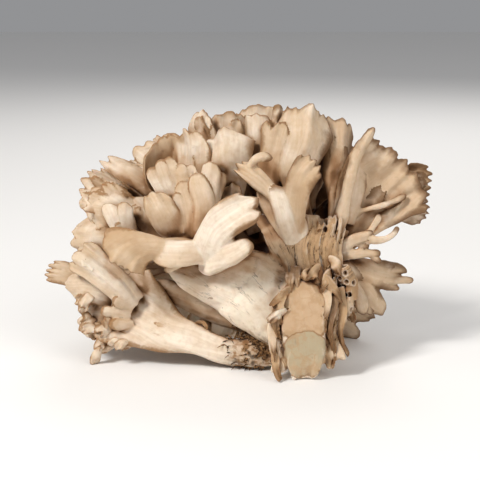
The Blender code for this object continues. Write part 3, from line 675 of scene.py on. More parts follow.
def flesh_skin(name, stem):
    """Matte living flesh: cream and faintly streaked below, taupe and finely streaked above, browned rims,
    painted shade in hollows, painted highlight on ridges.
    """
    material, tree, surface = matter(name, Specular_IOR_Level=0.3, Subsurface_Weight=0.22,
                                     Subsurface_Radius=(1.0, 0.55, 0.3), Subsurface_Scale=2.0 * MM)
    where = add_node(tree, "ShaderNodeTexCoord").outputs["Object"]
    flow, skin = (add_node(tree, "ShaderNodeAttribute", attribute_name=key).outputs["Vector"]
                  for key in ("flow", "skin"))
    open_sky, crease, tone = (add_node(tree, "ShaderNodeAttribute", attribute_name=key).outputs["Fac"]
                              for key in ("open", "crease", "tone"))
    pore_side, to_rim, fleshy = (axis_of(tree, skin, axis) for axis in range(3))
    streaks = placed(tree, fibre_group, Flow=flow, Across=0.75, Along=0.045)
    browned_and_shaded = placed(tree, brown_and_shade_group, Place=where, Edge=to_rim, Open=open_sky)
    east = remap(tree, axis_of(tree, where, 0), -0.03, 0.075)
    warm = maths(tree, "ADD", times(tree, clouds(tree, where, 55.0, 3.0, 0.32, 0.68), 0.5),
                 maths(tree, "ADD", tone, times(tree, east, 0.05)))
    below = layered(tree, IVORY, (CREAM, remap(tree, warm, 0.0, 0.8)), (HONEY, remap(tree, warm, 0.75, 1.6)),
                    (BROWN, remap(tree, warm, 1.8, 2.8)),
                    (TAN, streaks["Broad"], remap(tree, fleshy, 0.3, 1.0, 0.24, 0.10)),
                    (IVORY, streaks["Fine"], 0.08))
    if stem:
        colour = stem_marks(tree, below, where, flow)
    else:
        above = layered(tree, TAUPE, (SOOT, clouds(tree, where, 40.0, 3.0, 0.3, 0.7)),
                        (TAN, streaks["Fine"], 0.55), (CREAM, streaks["Broad"], 0.3),
                        (CREAM, remap(tree, to_rim, 0.5, 6.0, 0.6, 0.0)),
                        (HONEY, remap(tree, tone, 0.0, 0.4, 0.0, 0.35)),
                        (below, remap(tree, fleshy, 0.2, 0.9)))
        colour = blend(tree, above, below, remap(tree, pore_side, 0.35, 0.65))
    soil = patch(tree, where, *SOIL)
    colour = layered(tree, colour, (RUST, soil, clouds(tree, where, 330.0, 5.0, 0.42, 0.60, 0.25, 1.0)),
                     (UMBER, soil, clouds(tree, where, 210.0, 8.0, 0.50, 0.62, 0.0, 0.85)),
                     (TAN, clouds(tree, where, 380.0, 4.0, 0.45, 0.72, 0.0, 0.22)))
    # painted shade: a warm multiply where little sky is seen, and a dark one in deep gaps and in hollows of
    # the surface
    for shade, mask in ((SHADE_AMBER, browned_and_shaded["Crevice"]), (DEEP, remap(tree, open_sky, 0.04, 0.50, 0.95, 0.0)),
                        (DEEP, remap(tree, crease, 0.07, 0.30, 0.0, 0.9 if stem else 0.55))):
        colour = blend(tree, colour, shade, mask, mode="MULTIPLY")
    toasted = times(tree, remap(tree, to_rim, 0.5, 6.0, 0.55, 0.0),
                    clouds(tree, where, 75.0, 3.0, 0.4, 0.62, 0.15, 1.0))
    # painted highlight: ivory laid over ridges and convex edges; then brown spots, toasted rims and browned
    # rims
    colour = layered(tree, colour, (IVORY, remap(tree, crease, -0.25, -0.05, 0.35, 0.0)),
                     (BROWN, browned_and_shaded["Spots"], 0.7 if stem else 0.35), (HONEY, toasted),
                     (blend(tree, RUST, BROWN, east), browned_and_shaded["Rim"], 0.92))
    tree.links.new(colour, surface["Base Color"])
    tree.links.new(remap(tree, streaks["Fine"], 0.0, 1.0, 0.62, 0.78), surface["Roughness"])
    height = times(tree, streaks["Height"], 1.0 if stem else 0.6)
    height = maths(tree, "ADD", height, times(tree, place_noise(tree, where, 1500.0), 0.5))
    height = maths(tree, "ADD", height, times(tree, place_noise(tree, where, 330.0, 4.0), 1.7))
    bump = add_node(tree, "ShaderNodeBump", {"Height": height, "Strength": 0.55, "Distance": 0.35 * MM})
    tree.links.new(bump.outputs[0], surface["Normal"])
    return material


cap_skin = flesh_skin("cap_flesh_skin", stem=False)
stem_skin = flesh_skin("stem_flesh_skin", stem=True)


def stem_base():
    """The cut butt, the hub and the limbs that part from it."""
    return [
        limb((31, -71, 7), (32, -34, 42), 8, 15, 21, 32, bow=(0, -3, 3), profile=3.4),
        limb((30, -42, 19), (-1, -42, 45), 12, 17, 22, 18, face=(0, -1, 0.1)),
        limb((33, -26, 33), (-33, -37, 62), 18, 17, 30, 11, bow=(-1, -11, -4), face=(0, -1, 0.15),
             rounded=0.4),
        limb((20, -28, 21), (-50, -25, 39), 10, 6, 16, 7, bow=(-1, -5, 3), rounded=0.6),
        limb((30, -34, 41), (33, -30, 80), 9, 7, 16, 9, bow=(-3, -4, 2)),
        limb((37, -32, 40), (39, -30, 76), 8, 6, 14, 8, bow=(2, -4, 1)),
        limb((41, -28, 42), (50, -28, 70), 8, 5, 14, 9),
        limb((30, -32, 45), (9, -32, 82), 9, 7, 14, 10, bow=(3, -6, 6)),
        limb((38, -26, 41), (51, -23, 47), 11, 8, 15, 10),
        limb((31, -18, 36), (0, 10, 60), 18, 16, 30, 26),
        limb((23, -8, 45), (16, 2, 91), 14, 9, 20, 13),
        limb((8, 0, 51), (-29, -6, 74), 13, 9, 20, 13),
        limb((31, -8, 47), (54, -4, 78), 12, 9, 18, 12),
        limb((41, -38, 42), (46, -61, 12), 6, 5, 9, 7),
        limb((21, -44, 35), (18, -61, 6), 5, 4, 8, 6),
    ]


def strands():
    """Thin stems pressed side by side up the column, and torn fibres of bark beside the knife's cuts."""
    draw = random.Random(3)
    lot = []
    for k in range(12):
        root = (25 + 2.1 * k + draw.uniform(-1, 1), -43 + 0.3 * abs(k - 5), 41)
        tip = (22 + 2.7 * k, -36 + draw.uniform(-1, 1), draw.uniform(68, 92))
        lot.append(limb(root, tip, 1.6, 0.5, 4, 1.6, bow=(draw.uniform(-2, 2), -1.5, 0),
                        tone=draw.choice((0.1, 0.6, 1.0, 1.9))))
    for k in range(7):
        root = (40 + 1.2 * k, -62 + 0.7 * k, draw.uniform(6, 18))
        tip = (38 + 1.6 * k, -46, draw.uniform(40, 52))
        lot.append(limb(root, tip, 1.3, 0.9, 3.6, 2.4, bow=(draw.uniform(0, 2), -2.5, 1),
                        tone=draw.choice((0.9, 1.5, 1.9, 2.6))))
    for k in range(3):
        root = (18 + k, -61, draw.uniform(3, 14))
        tip = (19 + 1.2 * k, -51, draw.uniform(36, 42))
        lot.append(limb(root, tip, 1.2, 0.8, 3.2, 2.2, bow=(-1, -2.5, 0), tone=draw.uniform(0.2, 1.2)))
    return lot


pieces = [grow("stem", ["stem_base"], stem_base() + strands(), stem_skin, 11, voxel=0.7,
               keep=0.75, planes=(CUT_FACE, TRIM_FACE), melt=8, lump=0.8, ridge=0.2, fibre=0.15)]


# ---------------------------------------------------------------- the fronds in front
# Each is one limb's worth of caps and fingers, soft white flesh that grew as one, fused where they meet and
# rooted in the stem. A row gives a blade's root, the middle of its rim and its half width there, in mm.


def frond_front():
    """The strap, the twisted frond and the tongues in front of the column."""
    return [
        cap((28, -34, 71), (37, -44, 108), 7.5, tone=0.75, buds=0, bow=(-11, -9, 4), face=(-0.1, -1, 0.1),
            turn=(0.15, -1, 0.2), neck=4.5, thick=8, rounded=0.3, depth=0.05, lobes=4, cup=2),
        limb((32, -34, 61), (26, -34, 80), 6, 5, 10, 8),
        finger((27, -34, 75), (0, -38, 105), 4.5, tone=0.8, bow=(-1, -12, 7), face=(0, -1, 0.5), neck=4,
               depth=0.1, lobes=3, wave=1.5),
        finger((4, -38, 101), (16, -40, 107), 2.4, tone=0.6, bow=(-3, -4, 7), face=(0, -1, 0.6)),
        finger((28, -35, 65), (17, -43, 95), 5, tone=0.05, bow=(-5, -6, 2), face=(-0.1, -1, 0.1), thick=8,
               body=6, rim=3, neck=4),
        finger((25, -34, 66), (11, -36, 93), 3, tone=0.4, bow=(-8, -6, 0), face=(0, -1, 0.1)),
    ]


def frond_left_fan():
    """The large fan on the left that curls forward, and the pale broad lobes beside it."""
    return [
        cap((-16, -42, 61), (-60, -57, 58), 14, tone=0.85, buds=0, bow=(-9, -9, 17), face=(0.05, -1, 0.1),
            neck=3.5, thick=8, opens=0.45, power=1, rounded=0.25, depth=0.015, lobes=8, cup=-4),
        limb((-8, -34, 55), (-17, -46, 69), 10, 8, 14, 10),
        finger((-14, -44, 60), (-43, -51, 63), 6.5, tone=0.1, bow=(-1, -13, 6), face=(0, -1, 0.3)),
        finger((-22, -48, 61), (-37, -52, 55), 2),
        cap((-16, -42, 58), (8, -60, 90), 8.5, tone=-0.5, buds=0, bow=(-8, -13, 8), face=(-0.3, -1, 0.2),
            neck=7.5, thick=13, body=7, rim=4, rounded=0.3, cup=3, lobes=2, depth=0.06, phase=1, profile=3),
        finger((-17, -42, 57), (6, -61, 72), 4.5, tone=0.05, bow=(-3, -11, -4), face=(0, -1, 0.4), neck=7,
               body=7, rim=3),
    ]


def frond_fingers():
    """Fingers and small caps that stand up beside the large fan."""
    return [
        limb((-13, -32, 57), (-22, -38, 73), 12, 10, 14, 10),
        finger((-18, -38, 65), (-21, -39, 100), 6, bow=(2, -7, 1), thick=9, body=6, rounded=0.6,
               profile=2.4),
        finger((-14, -38, 66), (-13, -35, 106), 5, bow=(-4, -3, -2), thick=9, body=6),
        finger((-14, -36, 84), (-8, -34, 101), 3, thick=5),
        finger((-24, -38, 67), (-28, -38, 96), 5.5, bow=(0, -4, 0), body=5, cup=-2, rounded=0.6),
        finger((-27, -40, 70), (-32, -41, 91), 2.8, thick=5),
        cap((-29, -36, 67), (-44, -45, 94), 7.5, tone=0.45, buds=0, bow=(-4, -10, 4), face=(0.1, -1, 0.1),
            neck=5, rounded=0.7, curl=-1),
        limb((-22, -30, 66), (-31, -31, 90), 6, 5, 9, 6),
        finger((-27, -33, 74), (-44, -36, 103), 3.2, bow=(-1, -4, -2), thick=4, body=3),
        finger((-28, -33, 75), (-39, -37, 107), 3, bow=(-1, -4, 0), thick=4, body=3),
        finger((-27, -32, 76), (-34, -36, 108), 3.2, bow=(-2, -5, 1), thick=4, body=3),
        finger((-26, -33, 75), (-29, -37, 105), 2.8, bow=(1, -4, 0), thick=4, body=3),
        finger((-25, -33, 74), (-24, -36, 104), 3, bow=(2, -3, 0), thick=4, body=3),
        cap((-8, -31, 63), (-3, -26, 93), 6, neck=4, rounded=0.7),
    ]


def frond_low_left():
    """The lowest limb on the left, a broad fan with folded strips and small caps at its end."""
    return [
        cap((25, -42, 11), (-65, -26, 35), 23, buds=0.3, tone=0.0, bow=(-1, -14, -16),
            face=(0.05, -1, 0.35), neck=7, thick=13, body=5, opens=0.45, power=2.3, rounded=0.1, lobes=3,
            depth=0.03, cup=5),
        cap((-59, -26, 33), (-90, -29, 41), 10, tone=0.05, bow=(0, -14, 7), face=(-0.4, -1, 0.2), neck=7,
            rounded=0.7, cup=-4, curl=-3),
        cap((-57, -26, 22), (-85, -26, 20), 11, tone=0.1, bow=(-1, -10, 3), face=(-0.4, -1, 0), neck=8,
            rounded=0.6, cup=-4, curl=-3),
        finger((-52, -33, 37), (-77, -35, 63), 3.6, tone=0.3, bow=(2, -10, 7), face=(0, -1, 0.3), neck=3,
               wave=1.2, waves=2, rounded=0.6),
        finger((-54, -34, 34), (-82, -36, 59), 3.4, tone=0.05, bow=(2, -12, 6), face=(-0.3, -1, 0.2),
               neck=3),
        finger((-57, -33, 31), (-84, -34, 54), 3.6, tone=0.2, bow=(2, -12, 5), face=(-0.1, -1, 0.4), neck=3,
               wave=1),
        cap((-58, -26, 35), (-97, -20, 48), 6, tone=0.5, face=(0, -1, 0.5), neck=3, depth=0.1, lobes=5),
        finger((-55, -34, 33), (-64, -42, 37), 3),
        finger((-56, -34, 29), (-70, -41, 31), 3),
        finger((-55, -34, 24), (-65, -41, 24), 3),
        finger((-55, -32, 19), (-71, -36, 8), 3, face=(0, -1, 0.8)),
        finger((-49, -30, 19), (-60, -35, 11), 3, face=(0, -1, 0.8)),
    ]


def frond_left_outer():
    """Caps that fan out at the far left."""
    return [
        limb((-15, -20, 58), (-50, -20, 71), 9, 9, 14, 10),
        cap((-46, -20, 67), (-85, -20, 78), 14, bow=(-3, -20, 16), face=(-0.35, -1, 0.15), neck=8,
            rounded=0.55, cup=-8, curl=-6),
        cap((-46, -20, 64), (-90, -20, 59), 13, bow=(0, -16, 7), face=(-0.4, -1, 0), neck=7, rounded=0.55,
            cup=-7, curl=-6),
        cap((-43, -18, 71), (-76, -16, 94), 13, bow=(0, -2, 3), face=(0.3, -1, -0.3), neck=6, rounded=0.35,
            cup=8, curl=6, depth=0.08, lobes=4),
        cap((-41, -14, 72), (-62, -4, 95), 12, face=(0.5, -1, -0.3), neck=6, cup=6, curl=4),
        cap((-48, -26, 72), (-68, -24, 91), 8, face=(0, -1, 0.1), neck=5, depth=0.08, lobes=5, curl=3),
        finger((-54, -28, 65), (-66, -35, 85), 5, bow=(-4, -9, 1), neck=4, curl=-1),
        finger((-52, -30, 66), (-57, -38, 86), 4, bow=(-4, -8, 2), neck=3.5),
        finger((-55, -30, 65), (-61, -39, 76), 3.5, neck=3.5),
        cap((-38, -26, 65), (-57, -27, 86), 10, bow=(-3, -7, 3), face=(0.1, -1, 0), neck=6, rounded=0.5,
            cup=-2),
    ]


def frond_upper_left():
    """The great cap at the upper left, folded along its middle, and the caps behind it."""
    return [
        limb((-8, -14, 65), (-22, -22, 82), 9, 8, 12, 9),
        cap((-19, -18, 67), (-40, -14, 117), 16, buds=0.3, tone=0.9, bow=(-4, 8, -6), face=(0.4, -1, -0.35),
            neck=6, thick=8, opens=0.15, power=0.8, rounded=0.4, cup=8, curl=5),
        cap((-16, -22, 68), (-28, -19, 119), 11, tone=0.05, buds=0, bow=(1, -8, -3), face=(-0.5, -1, 0.1),
            neck=6, thick=7, rounded=0.4, cup=-2, curl=0),
        cap((-14, -22, 73), (-24, -20, 115), 4, tone=1.1, bow=(4, -6, 2), face=(1, -0.7, 0), neck=4),
        cap((-26, -8, 79), (-44, 2, 114), 11, face=(-0.4, -1, 0), neck=6, cup=-5, curl=-4),
        cap((-30, -14, 80), (-56, -7, 109), 12, bow=(1, -11, 4), face=(-0.2, -1, 0.3), neck=6, depth=0.05,
            cup=-6, curl=-4),
        cap((-32, -16, 79), (-71, -10, 102), 8, bow=(-1, -10, 4), face=(-0.3, -1, 0.5), neck=5, depth=0.08,
            cup=-4),
    ]


def frond_crown_mid():
    """Caps at the middle of the crown."""
    return [
        cap((19, -11, 74), (8, -12, 127), 8, tone=0.1, buds=0, bow=(-5, -2, 0), face=(-0.3, -1, 0.25),
            neck=6, thick=8, opens=0.3, rounded=0.3, cup=-3),
        cap((22, -15, 74), (21, -20, 123), 9.5, tone=0.5, buds=0, bow=(-11, -4, 0), face=(-0.2, -1, 0.1),
            neck=5, thick=8, opens=0.4, rounded=0.3, cup=-1, lobes=2, depth=0.06),
        cap((31, -18, 69), (35, -18, 133), 15, tone=0.2, buds=0, bow=(-7, -16, 6), face=(-0.1, -1, 0),
            neck=5.5, thick=9, opens=0.35, power=0.8, rounded=0.4, depth=0.015, cup=-8, wave=1.5, curl=-4),
        finger((13, -5, 100), (21, -7, 131), 2.5, bow=(-1, -4, 3), face=(0.6, -1, 0)),
        cap((28, -8, 79), (26, 0, 128), 7, face=(0.5, -1, 0), neck=5),
        cap((35, -10, 77), (43, -2, 126), 10, face=(0.5, -1, 0), neck=5, curl=-5, cup=-5),
        limb((31, -16, 51), (24, -9, 79), 10, 12, 18, 14),
    ]


def frond_crown_left():
    """Caps at the left of the crown."""
    return [
        limb((11, -4, 65), (2, -1, 90), 10, 12, 18, 16),
        limb((-4, -12, 82), (-2, 8, 98), 9, 10, 12, 12),
        cap((0, -6, 76), (-12, -14, 122), 17, tone=0.1, bow=(-6, -30, 12), buds=0, face=(-0.15, -1, 0),
            neck=6, thick=8, opens=0.15, power=0.7, rounded=0.4, depth=0, cup=-9, wave=1, curl=-5),
        cap((-6, 2, 91), (-18, 4, 126), 8, bow=(-12, -2, 0), face=(-0.5, -1, 0.1), neck=6, rounded=0.8,
            depth=0.02),
        cap((-1, 4, 90), (-5, 8, 126), 12, face=(0.2, -1, 0.2), neck=6, rounded=0.4, cup=-5, curl=-4),
        cap((8, 6, 90), (7, 14, 129), 14, face=(-0.1, -1, 0.3), neck=6, rounded=0.35, cup=-5, curl=-4),
    ]


def frond_crown_right():
    """The tall cap at the right of the crown."""
    return [
        cap((49, -26, 53), (53, -12, 124), 9.5, tone=0.5, bow=(-4, 0, 9), face=(0.25, -1, 0), neck=4.5,
            thick=8, opens=0.5, power=0.7, rounded=0.3, cup=-5, curl=-4),
        cap((50, -14, 80), (63, -6, 107), 9, bow=(-4, -4, 3), face=(0.6, -1, 0), neck=5, cup=-4),
    ]


def frond_antler():
    """Forked fingers on the right."""
    return [
        finger((45, -28, 54), (66, -34, 70), 2.6, bow=(-2, -5, 3), neck=4.5, thick=7, body=3.4,
               face=(0, -1, 0.2)),
        finger((62, -33, 67), (77, -36, 74), 1.3, bow=(7, -4, -5), neck=2.2, thick=3.4, body=2.4),
        finger((49, -30, 55), (71, -33, 60), 1.8, bow=(-1, -5, 2), neck=3, thick=4, body=2.6),
        finger((65, -33, 60), (72, -34, 55), 1.6, thick=3, body=2.4),
        finger((61, -32, 66), (70, -30, 80), 2, thick=4, body=3),
        finger((56, -32, 63), (65, -35, 63), 1.3, thick=3, body=2.4),
    ]


def frond_right_fan():
    """The great fan on the right, ribbed and dark-rimmed."""
    return [
        cap((48, -26, 55), (84, -22, 104), 25, tone=0.4, buds=0.25, bow=(-6, 8, 6), face=(0, -1, -0.05),
            neck=6, thick=9, opens=0.05, power=1, rounded=0.15, cup=6, curl=4, depth=0.03, lobes=5),
        finger((46, -30, 54), (65, -32, 123), 2.6, tone=0.5, bow=(-5, -3, 3), face=(0.3, -1, 0), neck=3.5,
               thick=7, body=4, rounded=1),
        cap((53, -27, 72), (64, -25, 114), 7, face=(0.5, -1, 0), neck=4),
        cap((74, -19, 88), (97, -13, 89), 13, tone=0.9, bow=(1, 3, 2), face=(0.5, -1, 0), thick=7,
            depth=0.1, lobes=7, curl=4),
        cap((69, -20, 82), (94, -23, 76), 8, face=(0, -1, -0.3), thick=5, depth=0.1, lobes=5),
        finger((56, -25, 76), (83, -28, 87), 1.6, bow=(0, -3, 4), face=(0, -1, 0.4), thick=4, body=3),
    ]


def frond_low_right():
    """Small caps low on the right, dark at their rims."""
    return [
        limb((39, -23, 45), (60, -24, 48), 9, 6, 12, 8),
        cap((52, -23, 49), (84, -20, 42), 7.5, tone=0.5, bow=(-2, -7, 6), face=(0, -1, 0.2), neck=5,
            thick=8, rounded=0.1, depth=0.06, lobes=3, cup=-2, curl=-1),
        cap((51, -25, 50), (63, -29, 44), 5, tone=0.2, bow=(0, -4, 3), face=(0.2, -1, 0.2), neck=4,
            rounded=0.6, cup=-2),
        finger((54, -27, 47), (62, -31, 27), 3.5, tone=0.3, bow=(1, -6, 3)),
        cap((55, -22, 46), (72, -22, 24), 7, tone=0.5, bow=(3, -9, 4), face=(0, -1, 0.1), neck=4.5,
            rounded=0.6, cup=-3),
        cap((52, -20, 46), (56, -18, 24), 7.5, tone=0.7, bow=(2, -4, 2), neck=5, rounded=0.4),
        finger((74, -22, 44), (90, -20, 41), 1.8),
    ]


FRONT_FRONDS = (frond_front, frond_left_fan, frond_fingers, frond_low_left, frond_left_outer,
                frond_upper_left, frond_crown_mid, frond_crown_left, frond_crown_right, frond_antler,
                frond_right_fan, frond_low_right)


def grow_frond(node, blades, seed, voxel, keep):
    """Grow the frond that stands for the solid of that name."""
    pieces.append(grow(node.replace("frond_", "") + "_flesh", [node], blades, cap_skin, seed,
                       voxel=voxel, keep=keep))


for number, frond in enumerate(FRONT_FRONDS):
    grow_frond(frond.__name__, frond(), 20 + number, voxel=0.6, keep=0.55)


# ---------------------------------------------------------------- the fronds behind
# Overlapping caps of the same flesh, ring within ring like a rosette, their grey-brown tops outwards. They
# grow from limbs that part from the stem at its heart, fused into one frond for each sector.
HEART = np.array((8.0, 6.0, 50.0))   # where those limbs part, mm
SECTORS = 6
LIMB_OUT, LIMB_BACK, LIMB_DOWN = 22, 10, 16   # how far a sector's limb leads out, backwards and down, mm
HEART_LIMB_BACK = 18                 # how far the upright frond's own limb leads backwards, mm
# ring of caps: reach across, reach up, depth behind the middle, half width, number of caps
RINGS = ((84, 66, 8, 19, 12), (70, 60, 30, 18, 10), (48, 44, 46, 16, 8), (25, 25, 58, 13, 5),
         (8, 8, 64, 11, 3))
SAG = 1.15                           # how much further the lower caps reach than the upper ones
WEDGE = (-0.3, 0.28)                 # sines of the directions on the right where no cap grows
HEART_RINGS = 3                      # the rings from this one inwards make one upright frond


def back_fronds():
    """The caps of each frond behind, by the name of its solid."""
    draw = random.Random(7)
    nodes = {}
    for ring, (across, up, behind, half, count) in enumerate(RINGS):
        for k in range(count):
            angle = 2 * math.pi * (k + 0.5 * (ring % 2) + draw.uniform(-0.2, 0.2)) / count
            away = np.array((math.cos(angle), 0, math.sin(angle)))
            if ring < HEART_RINGS and away[0] > 0 and WEDGE[0] < away[2] < WEDGE[1]:
                continue
            sector = int(angle / (2 * math.pi) * SECTORS) % SECTORS
            name = f"frond_back_{sector + 1}"
            middle = 2 * math.pi * (sector + 0.5) / SECTORS
            rise = LIMB_OUT if math.sin(middle) > 0 else LIMB_DOWN
            branch = np.array((LIMB_OUT * math.cos(middle), LIMB_BACK, rise * math.sin(middle)))
            if ring >= HEART_RINGS:
                name = "frond_back_heart"
                branch = np.array((0, HEART_LIMB_BACK, 0))
            down = SAG if away[2] < 0 else 1
            spot = away * (across, 0, up * down) * draw.uniform(0.92, 1)
            tip = np.array((0, behind + draw.uniform(-4, 4), HEART[2])) + spot
            tip[2] = max(tip[2], 1)
            if name not in nodes:
                nodes[name] = [limb(tuple(HEART - (0, 4, 0)), tuple(HEART + branch * 1.15), 10, 9, 14, 12,
                                    face=(0.3, -0.6, 1))]
            nodes[name].append(cap(
                tuple(HEART + branch), tuple(tip), half * draw.uniform(0.88, 1.15),
                bow=tuple((0, 4 + 5 * ring, 0) - away * 4),
                face=tuple((0, -1, 0) + away * (0.25 + 0.2 * ring)),
                neck=6, thick=8, rounded=0.3, phase=draw.uniform(0, 6), depth=draw.uniform(0.03, 0.07),
                cup=draw.uniform(-5, 1), wave=draw.uniform(0.5, 2), waves=draw.choice((2, 3))))
    return nodes


for number, (node, blades) in enumerate(back_fronds().items()):
    grow_frond(node, blades, 40 + number, voxel=0.85, keep=0.6)


# ---------------------------------------------------------------- small lobes at the left end
# Late caps, a few millimetres long, that sprout in loose rows down the front of the lowest limb's end and
# over its folded strips. Each is a thin curled blade rooted where the limb's surface is nearest.
# first and last place of a row, mm, the number of its lobes and their half width
ROWS_OF_LOBES = (((-55, -36, 42), (-70, -36, 8), 12, 3.2), ((-60, -40, 46), (-78, -40, 56), 4, 2.4),
                 ((-74, -36, 36), (-80, -36, 16), 5, 3.0), ((-54, -44, 8), (-66, -40, 6), 2, 2.4))
SUNK = 2.5                # how deep a lobe is rooted, mm
low_left_piece = next(piece for piece in pieces if piece.name == "low_left_flesh")
draw = random.Random(21)
lobes = []
for first, last, count, spread in ROWS_OF_LOBES:
    for k in range(count):
        share = (k + draw.uniform(0.1, 0.9)) / count
        guide = [a + (b - a) * share for a, b in zip(first, last)]
        spot, outward = low_left_piece.closest_point_on_mesh(Vector(at(*guide)))[1:3]
        root = np.array(spot) / MM - SETTLE - SUNK * np.array(outward)
        tip = root + np.array(outward) * draw.uniform(6, 9) + (draw.uniform(-5, 0), draw.uniform(-3, 0),
                                                              draw.uniform(-2, 4))
        lobes.append(cap(tuple(root), tuple(tip), spread * draw.uniform(0.7, 1.3), neck=spread * 0.6, thick=3,
                         body=2, rim=0.8, face=(0.3, -1, 0.6), bow=(-1, -1, 2), cup=draw.uniform(-2, 2),
                         curl=draw.uniform(-3, 0), ruffle=1.5, nicks=1.2, buds=0,
                         tone=draw.uniform(-0.2, 0.4)))
pieces.append(grow("small_lobes", [], lobes, cap_skin, 62, voxel=0.45, keep=0.6, melt=2))

# ---------------------------------------------------------------- torn skin at the cut stem
# Skin that tore as the stem was cut: pale curled flaps, browned strips, and some dark with soil that had
# grown in. Each is a thin nicked blade rooted in the stem.
# root and tip, mm, half width at the root and at the rim, bow and tone
TORN = (
    ((23, -52, 42), (14, -58, 38), 3.6, 1.6, (0, -3, 4), 1.9),
    ((23, -57, 34), (15, -64, 32), 3.0, 2.2, (0, -2, 4), 0.0),
    ((18, -56, 38), (20, -63, 23), 2.4, 0.7, (-1, -2, 0), 2.7),
    ((20, -54, 42), (21, -61, 30), 2.4, 1.0, (-1, -2, 1), 1.2),
    ((18, -58, 30), (16, -64, 13), 2.6, 0.8, (-2, -2, 0), 0.2),
    ((17, -59, 18), (19, -67, 5), 2.6, 1.4, (-3, -1, 0), 1.5),
    ((27, -44, 55), (28, -52, 43), 3.0, 1.0, (-1, -2, 2), 2.9),
    ((24, -47, 52), (24, -54, 43), 2.6, 0.8, (0, -1, 2), 2.6),
    ((33, -47, 52), (31, -52, 49), 3.2, 2.4, (0, -2, 2), 0.6),
    ((38, -46, 54), (33, -53, 50), 3.4, 2.0, (0, -2, 3), 0.9),
    ((44, -45, 52), (39, -55, 45), 3.0, 0.9, (0, -3, 4), 0.9),
    ((41, -51, 47), (42, -62, 26), 2.4, 0.7, (2, -2, 2), 0.5),
    ((45, -50, 45), (44, -63, 17), 2.2, 0.5, (2, -3, 2), 2.9),
    ((42, -52, 40), (45, -64, 9), 2.4, 0.6, (3, -3, 0), 2.2),
    ((48, -47, 46), (50, -59, 15), 2.8, 0.8, (3, -3, 0), 1.5),
    ((41, -50, 51), (49, -54, 40), 2.6, 0.8, (1, -2, 3), 1.9),
    ((46, -43, 58), (49, -50, 53), 3.0, 1.4, (0, -3, 3), 0.8),
    ((49, -43, 36), (56, -51, 29), 2.6, 1.4, (3, -2, 0), 1.2),
    ((46, -50, 22), (52, -58, 14), 3.0, 1.6, (1, -2, 3), 1.2),
    ((-24, -36, 20), (-17, -46, 24), 1.4, 0.8, (1, -1, 5), 2.2),
)
torn = [cap(root, tip, spread, bow=bow, neck=neck, thick=1.6, body=1.1, rim=0.7, nicks=2.4, ruffle=2.0,
            wave=0.8, tone=tone, buds=0) for root, tip, neck, spread, bow, tone in TORN]
pieces.append(grow("torn_skin", [], torn, cap_skin, 60, voxel=0.4, keep=0.6, melt=0, lump=0.8))

# ---------------------------------------------------------------- pitted crust right of the cut
# A knob of old crust riddled with small dark holes, grown like the rest of the flesh and then pitted.
# Three short lobes side by side make it, rooted in the stem.
crust_knobs = [limb((44, -34, 48), (54, -49, 52), 5, 5.5, 9, 8, tone=0.7),
               limb((44, -34, 43), (57, -48, 44), 5, 5.5, 9, 8, tone=1.0),
               limb((45, -36, 38), (54, -50, 37), 4.5, 5, 8, 7, tone=0.5)]
pieces.append(grow("pitted_crust", [], crust_knobs, stem_skin, 61, voxel=0.4, keep=0.6, melt=4,
                   lump=1.0, pit=0.8))

# ---------------------------------------------------------------- litter and splinters
# Dark crumbs and needles of forest litter caught under the stem, and short fibres that stand out of
# its bark. They are strewn over the flesh by one Geometry Nodes tree and made a plain mesh.
strew_tree = bpy.data.node_groups.new("strewn bits", "GeometryNodeTree")
given, result = sockets(strew_tree, {"Strewn": "Geometry"}, Geometry="Geometry", Bit="Object",
                        Centre="Vector", Radius=0.01, Density=1e5, Grain="Vector", Wildness=1.0,
                        Smallest=0.4, Largest=1.5, Seed=0, Matter="Material")
place = add_node(strew_tree, "GeometryNodeInputPosition").outputs[0]
away = vector_maths(strew_tree, "DISTANCE", place, given["Centre"])
away = maths(strew_tree, "DIVIDE", away, given["Radius"])
thickly = times(strew_tree, remap(strew_tree, away, 0.2, 1.0, 1.0, 0.0),
                clouds(strew_tree, place, 170.0, 2.0, 0.42, 0.6, 0.05, 2.0), given["Density"])
sown = add_node(strew_tree, "GeometryNodeDistributePointsOnFaces",
                {"Mesh": given["Geometry"], "Density": thickly, "Seed": given["Seed"]}).outputs["Points"]
stray = add_node(strew_tree, "FunctionNodeRandomValue",
                 {"Min": (-1, -1, -1), "Max": (1, 1, 1), "Seed": given["Seed"]},
                 data_type="FLOAT_VECTOR").outputs[0]
heading = vector_maths(strew_tree, "ADD", given["Grain"], scaled(strew_tree, stray, given["Wildness"]))
turned = add_node(strew_tree, "FunctionNodeAlignRotationToVector", {"Vector": heading}, axis="X").outputs[0]
size = add_node(strew_tree, "FunctionNodeRandomValue",
                {"Min": given["Smallest"], "Max": given["Largest"], "Seed": given["Seed"]},
                data_type="FLOAT").outputs[1]
one_bit = add_node(strew_tree, "GeometryNodeObjectInfo", {"Object": given["Bit"]}).outputs["Geometry"]
laid = add_node(strew_tree, "GeometryNodeInstanceOnPoints",
                {"Points": sown, "Instance": one_bit, "Rotation": turned, "Scale": size}).outputs[0]
laid = add_node(strew_tree, "GeometryNodeRealizeInstances", {"Geometry": laid}).outputs[0]
laid = add_node(strew_tree, "GeometryNodeSetMaterial", {"Geometry": laid, "Material": given["Matter"]})
strew_tree.links.new(laid.outputs[0], result["Strewn"])


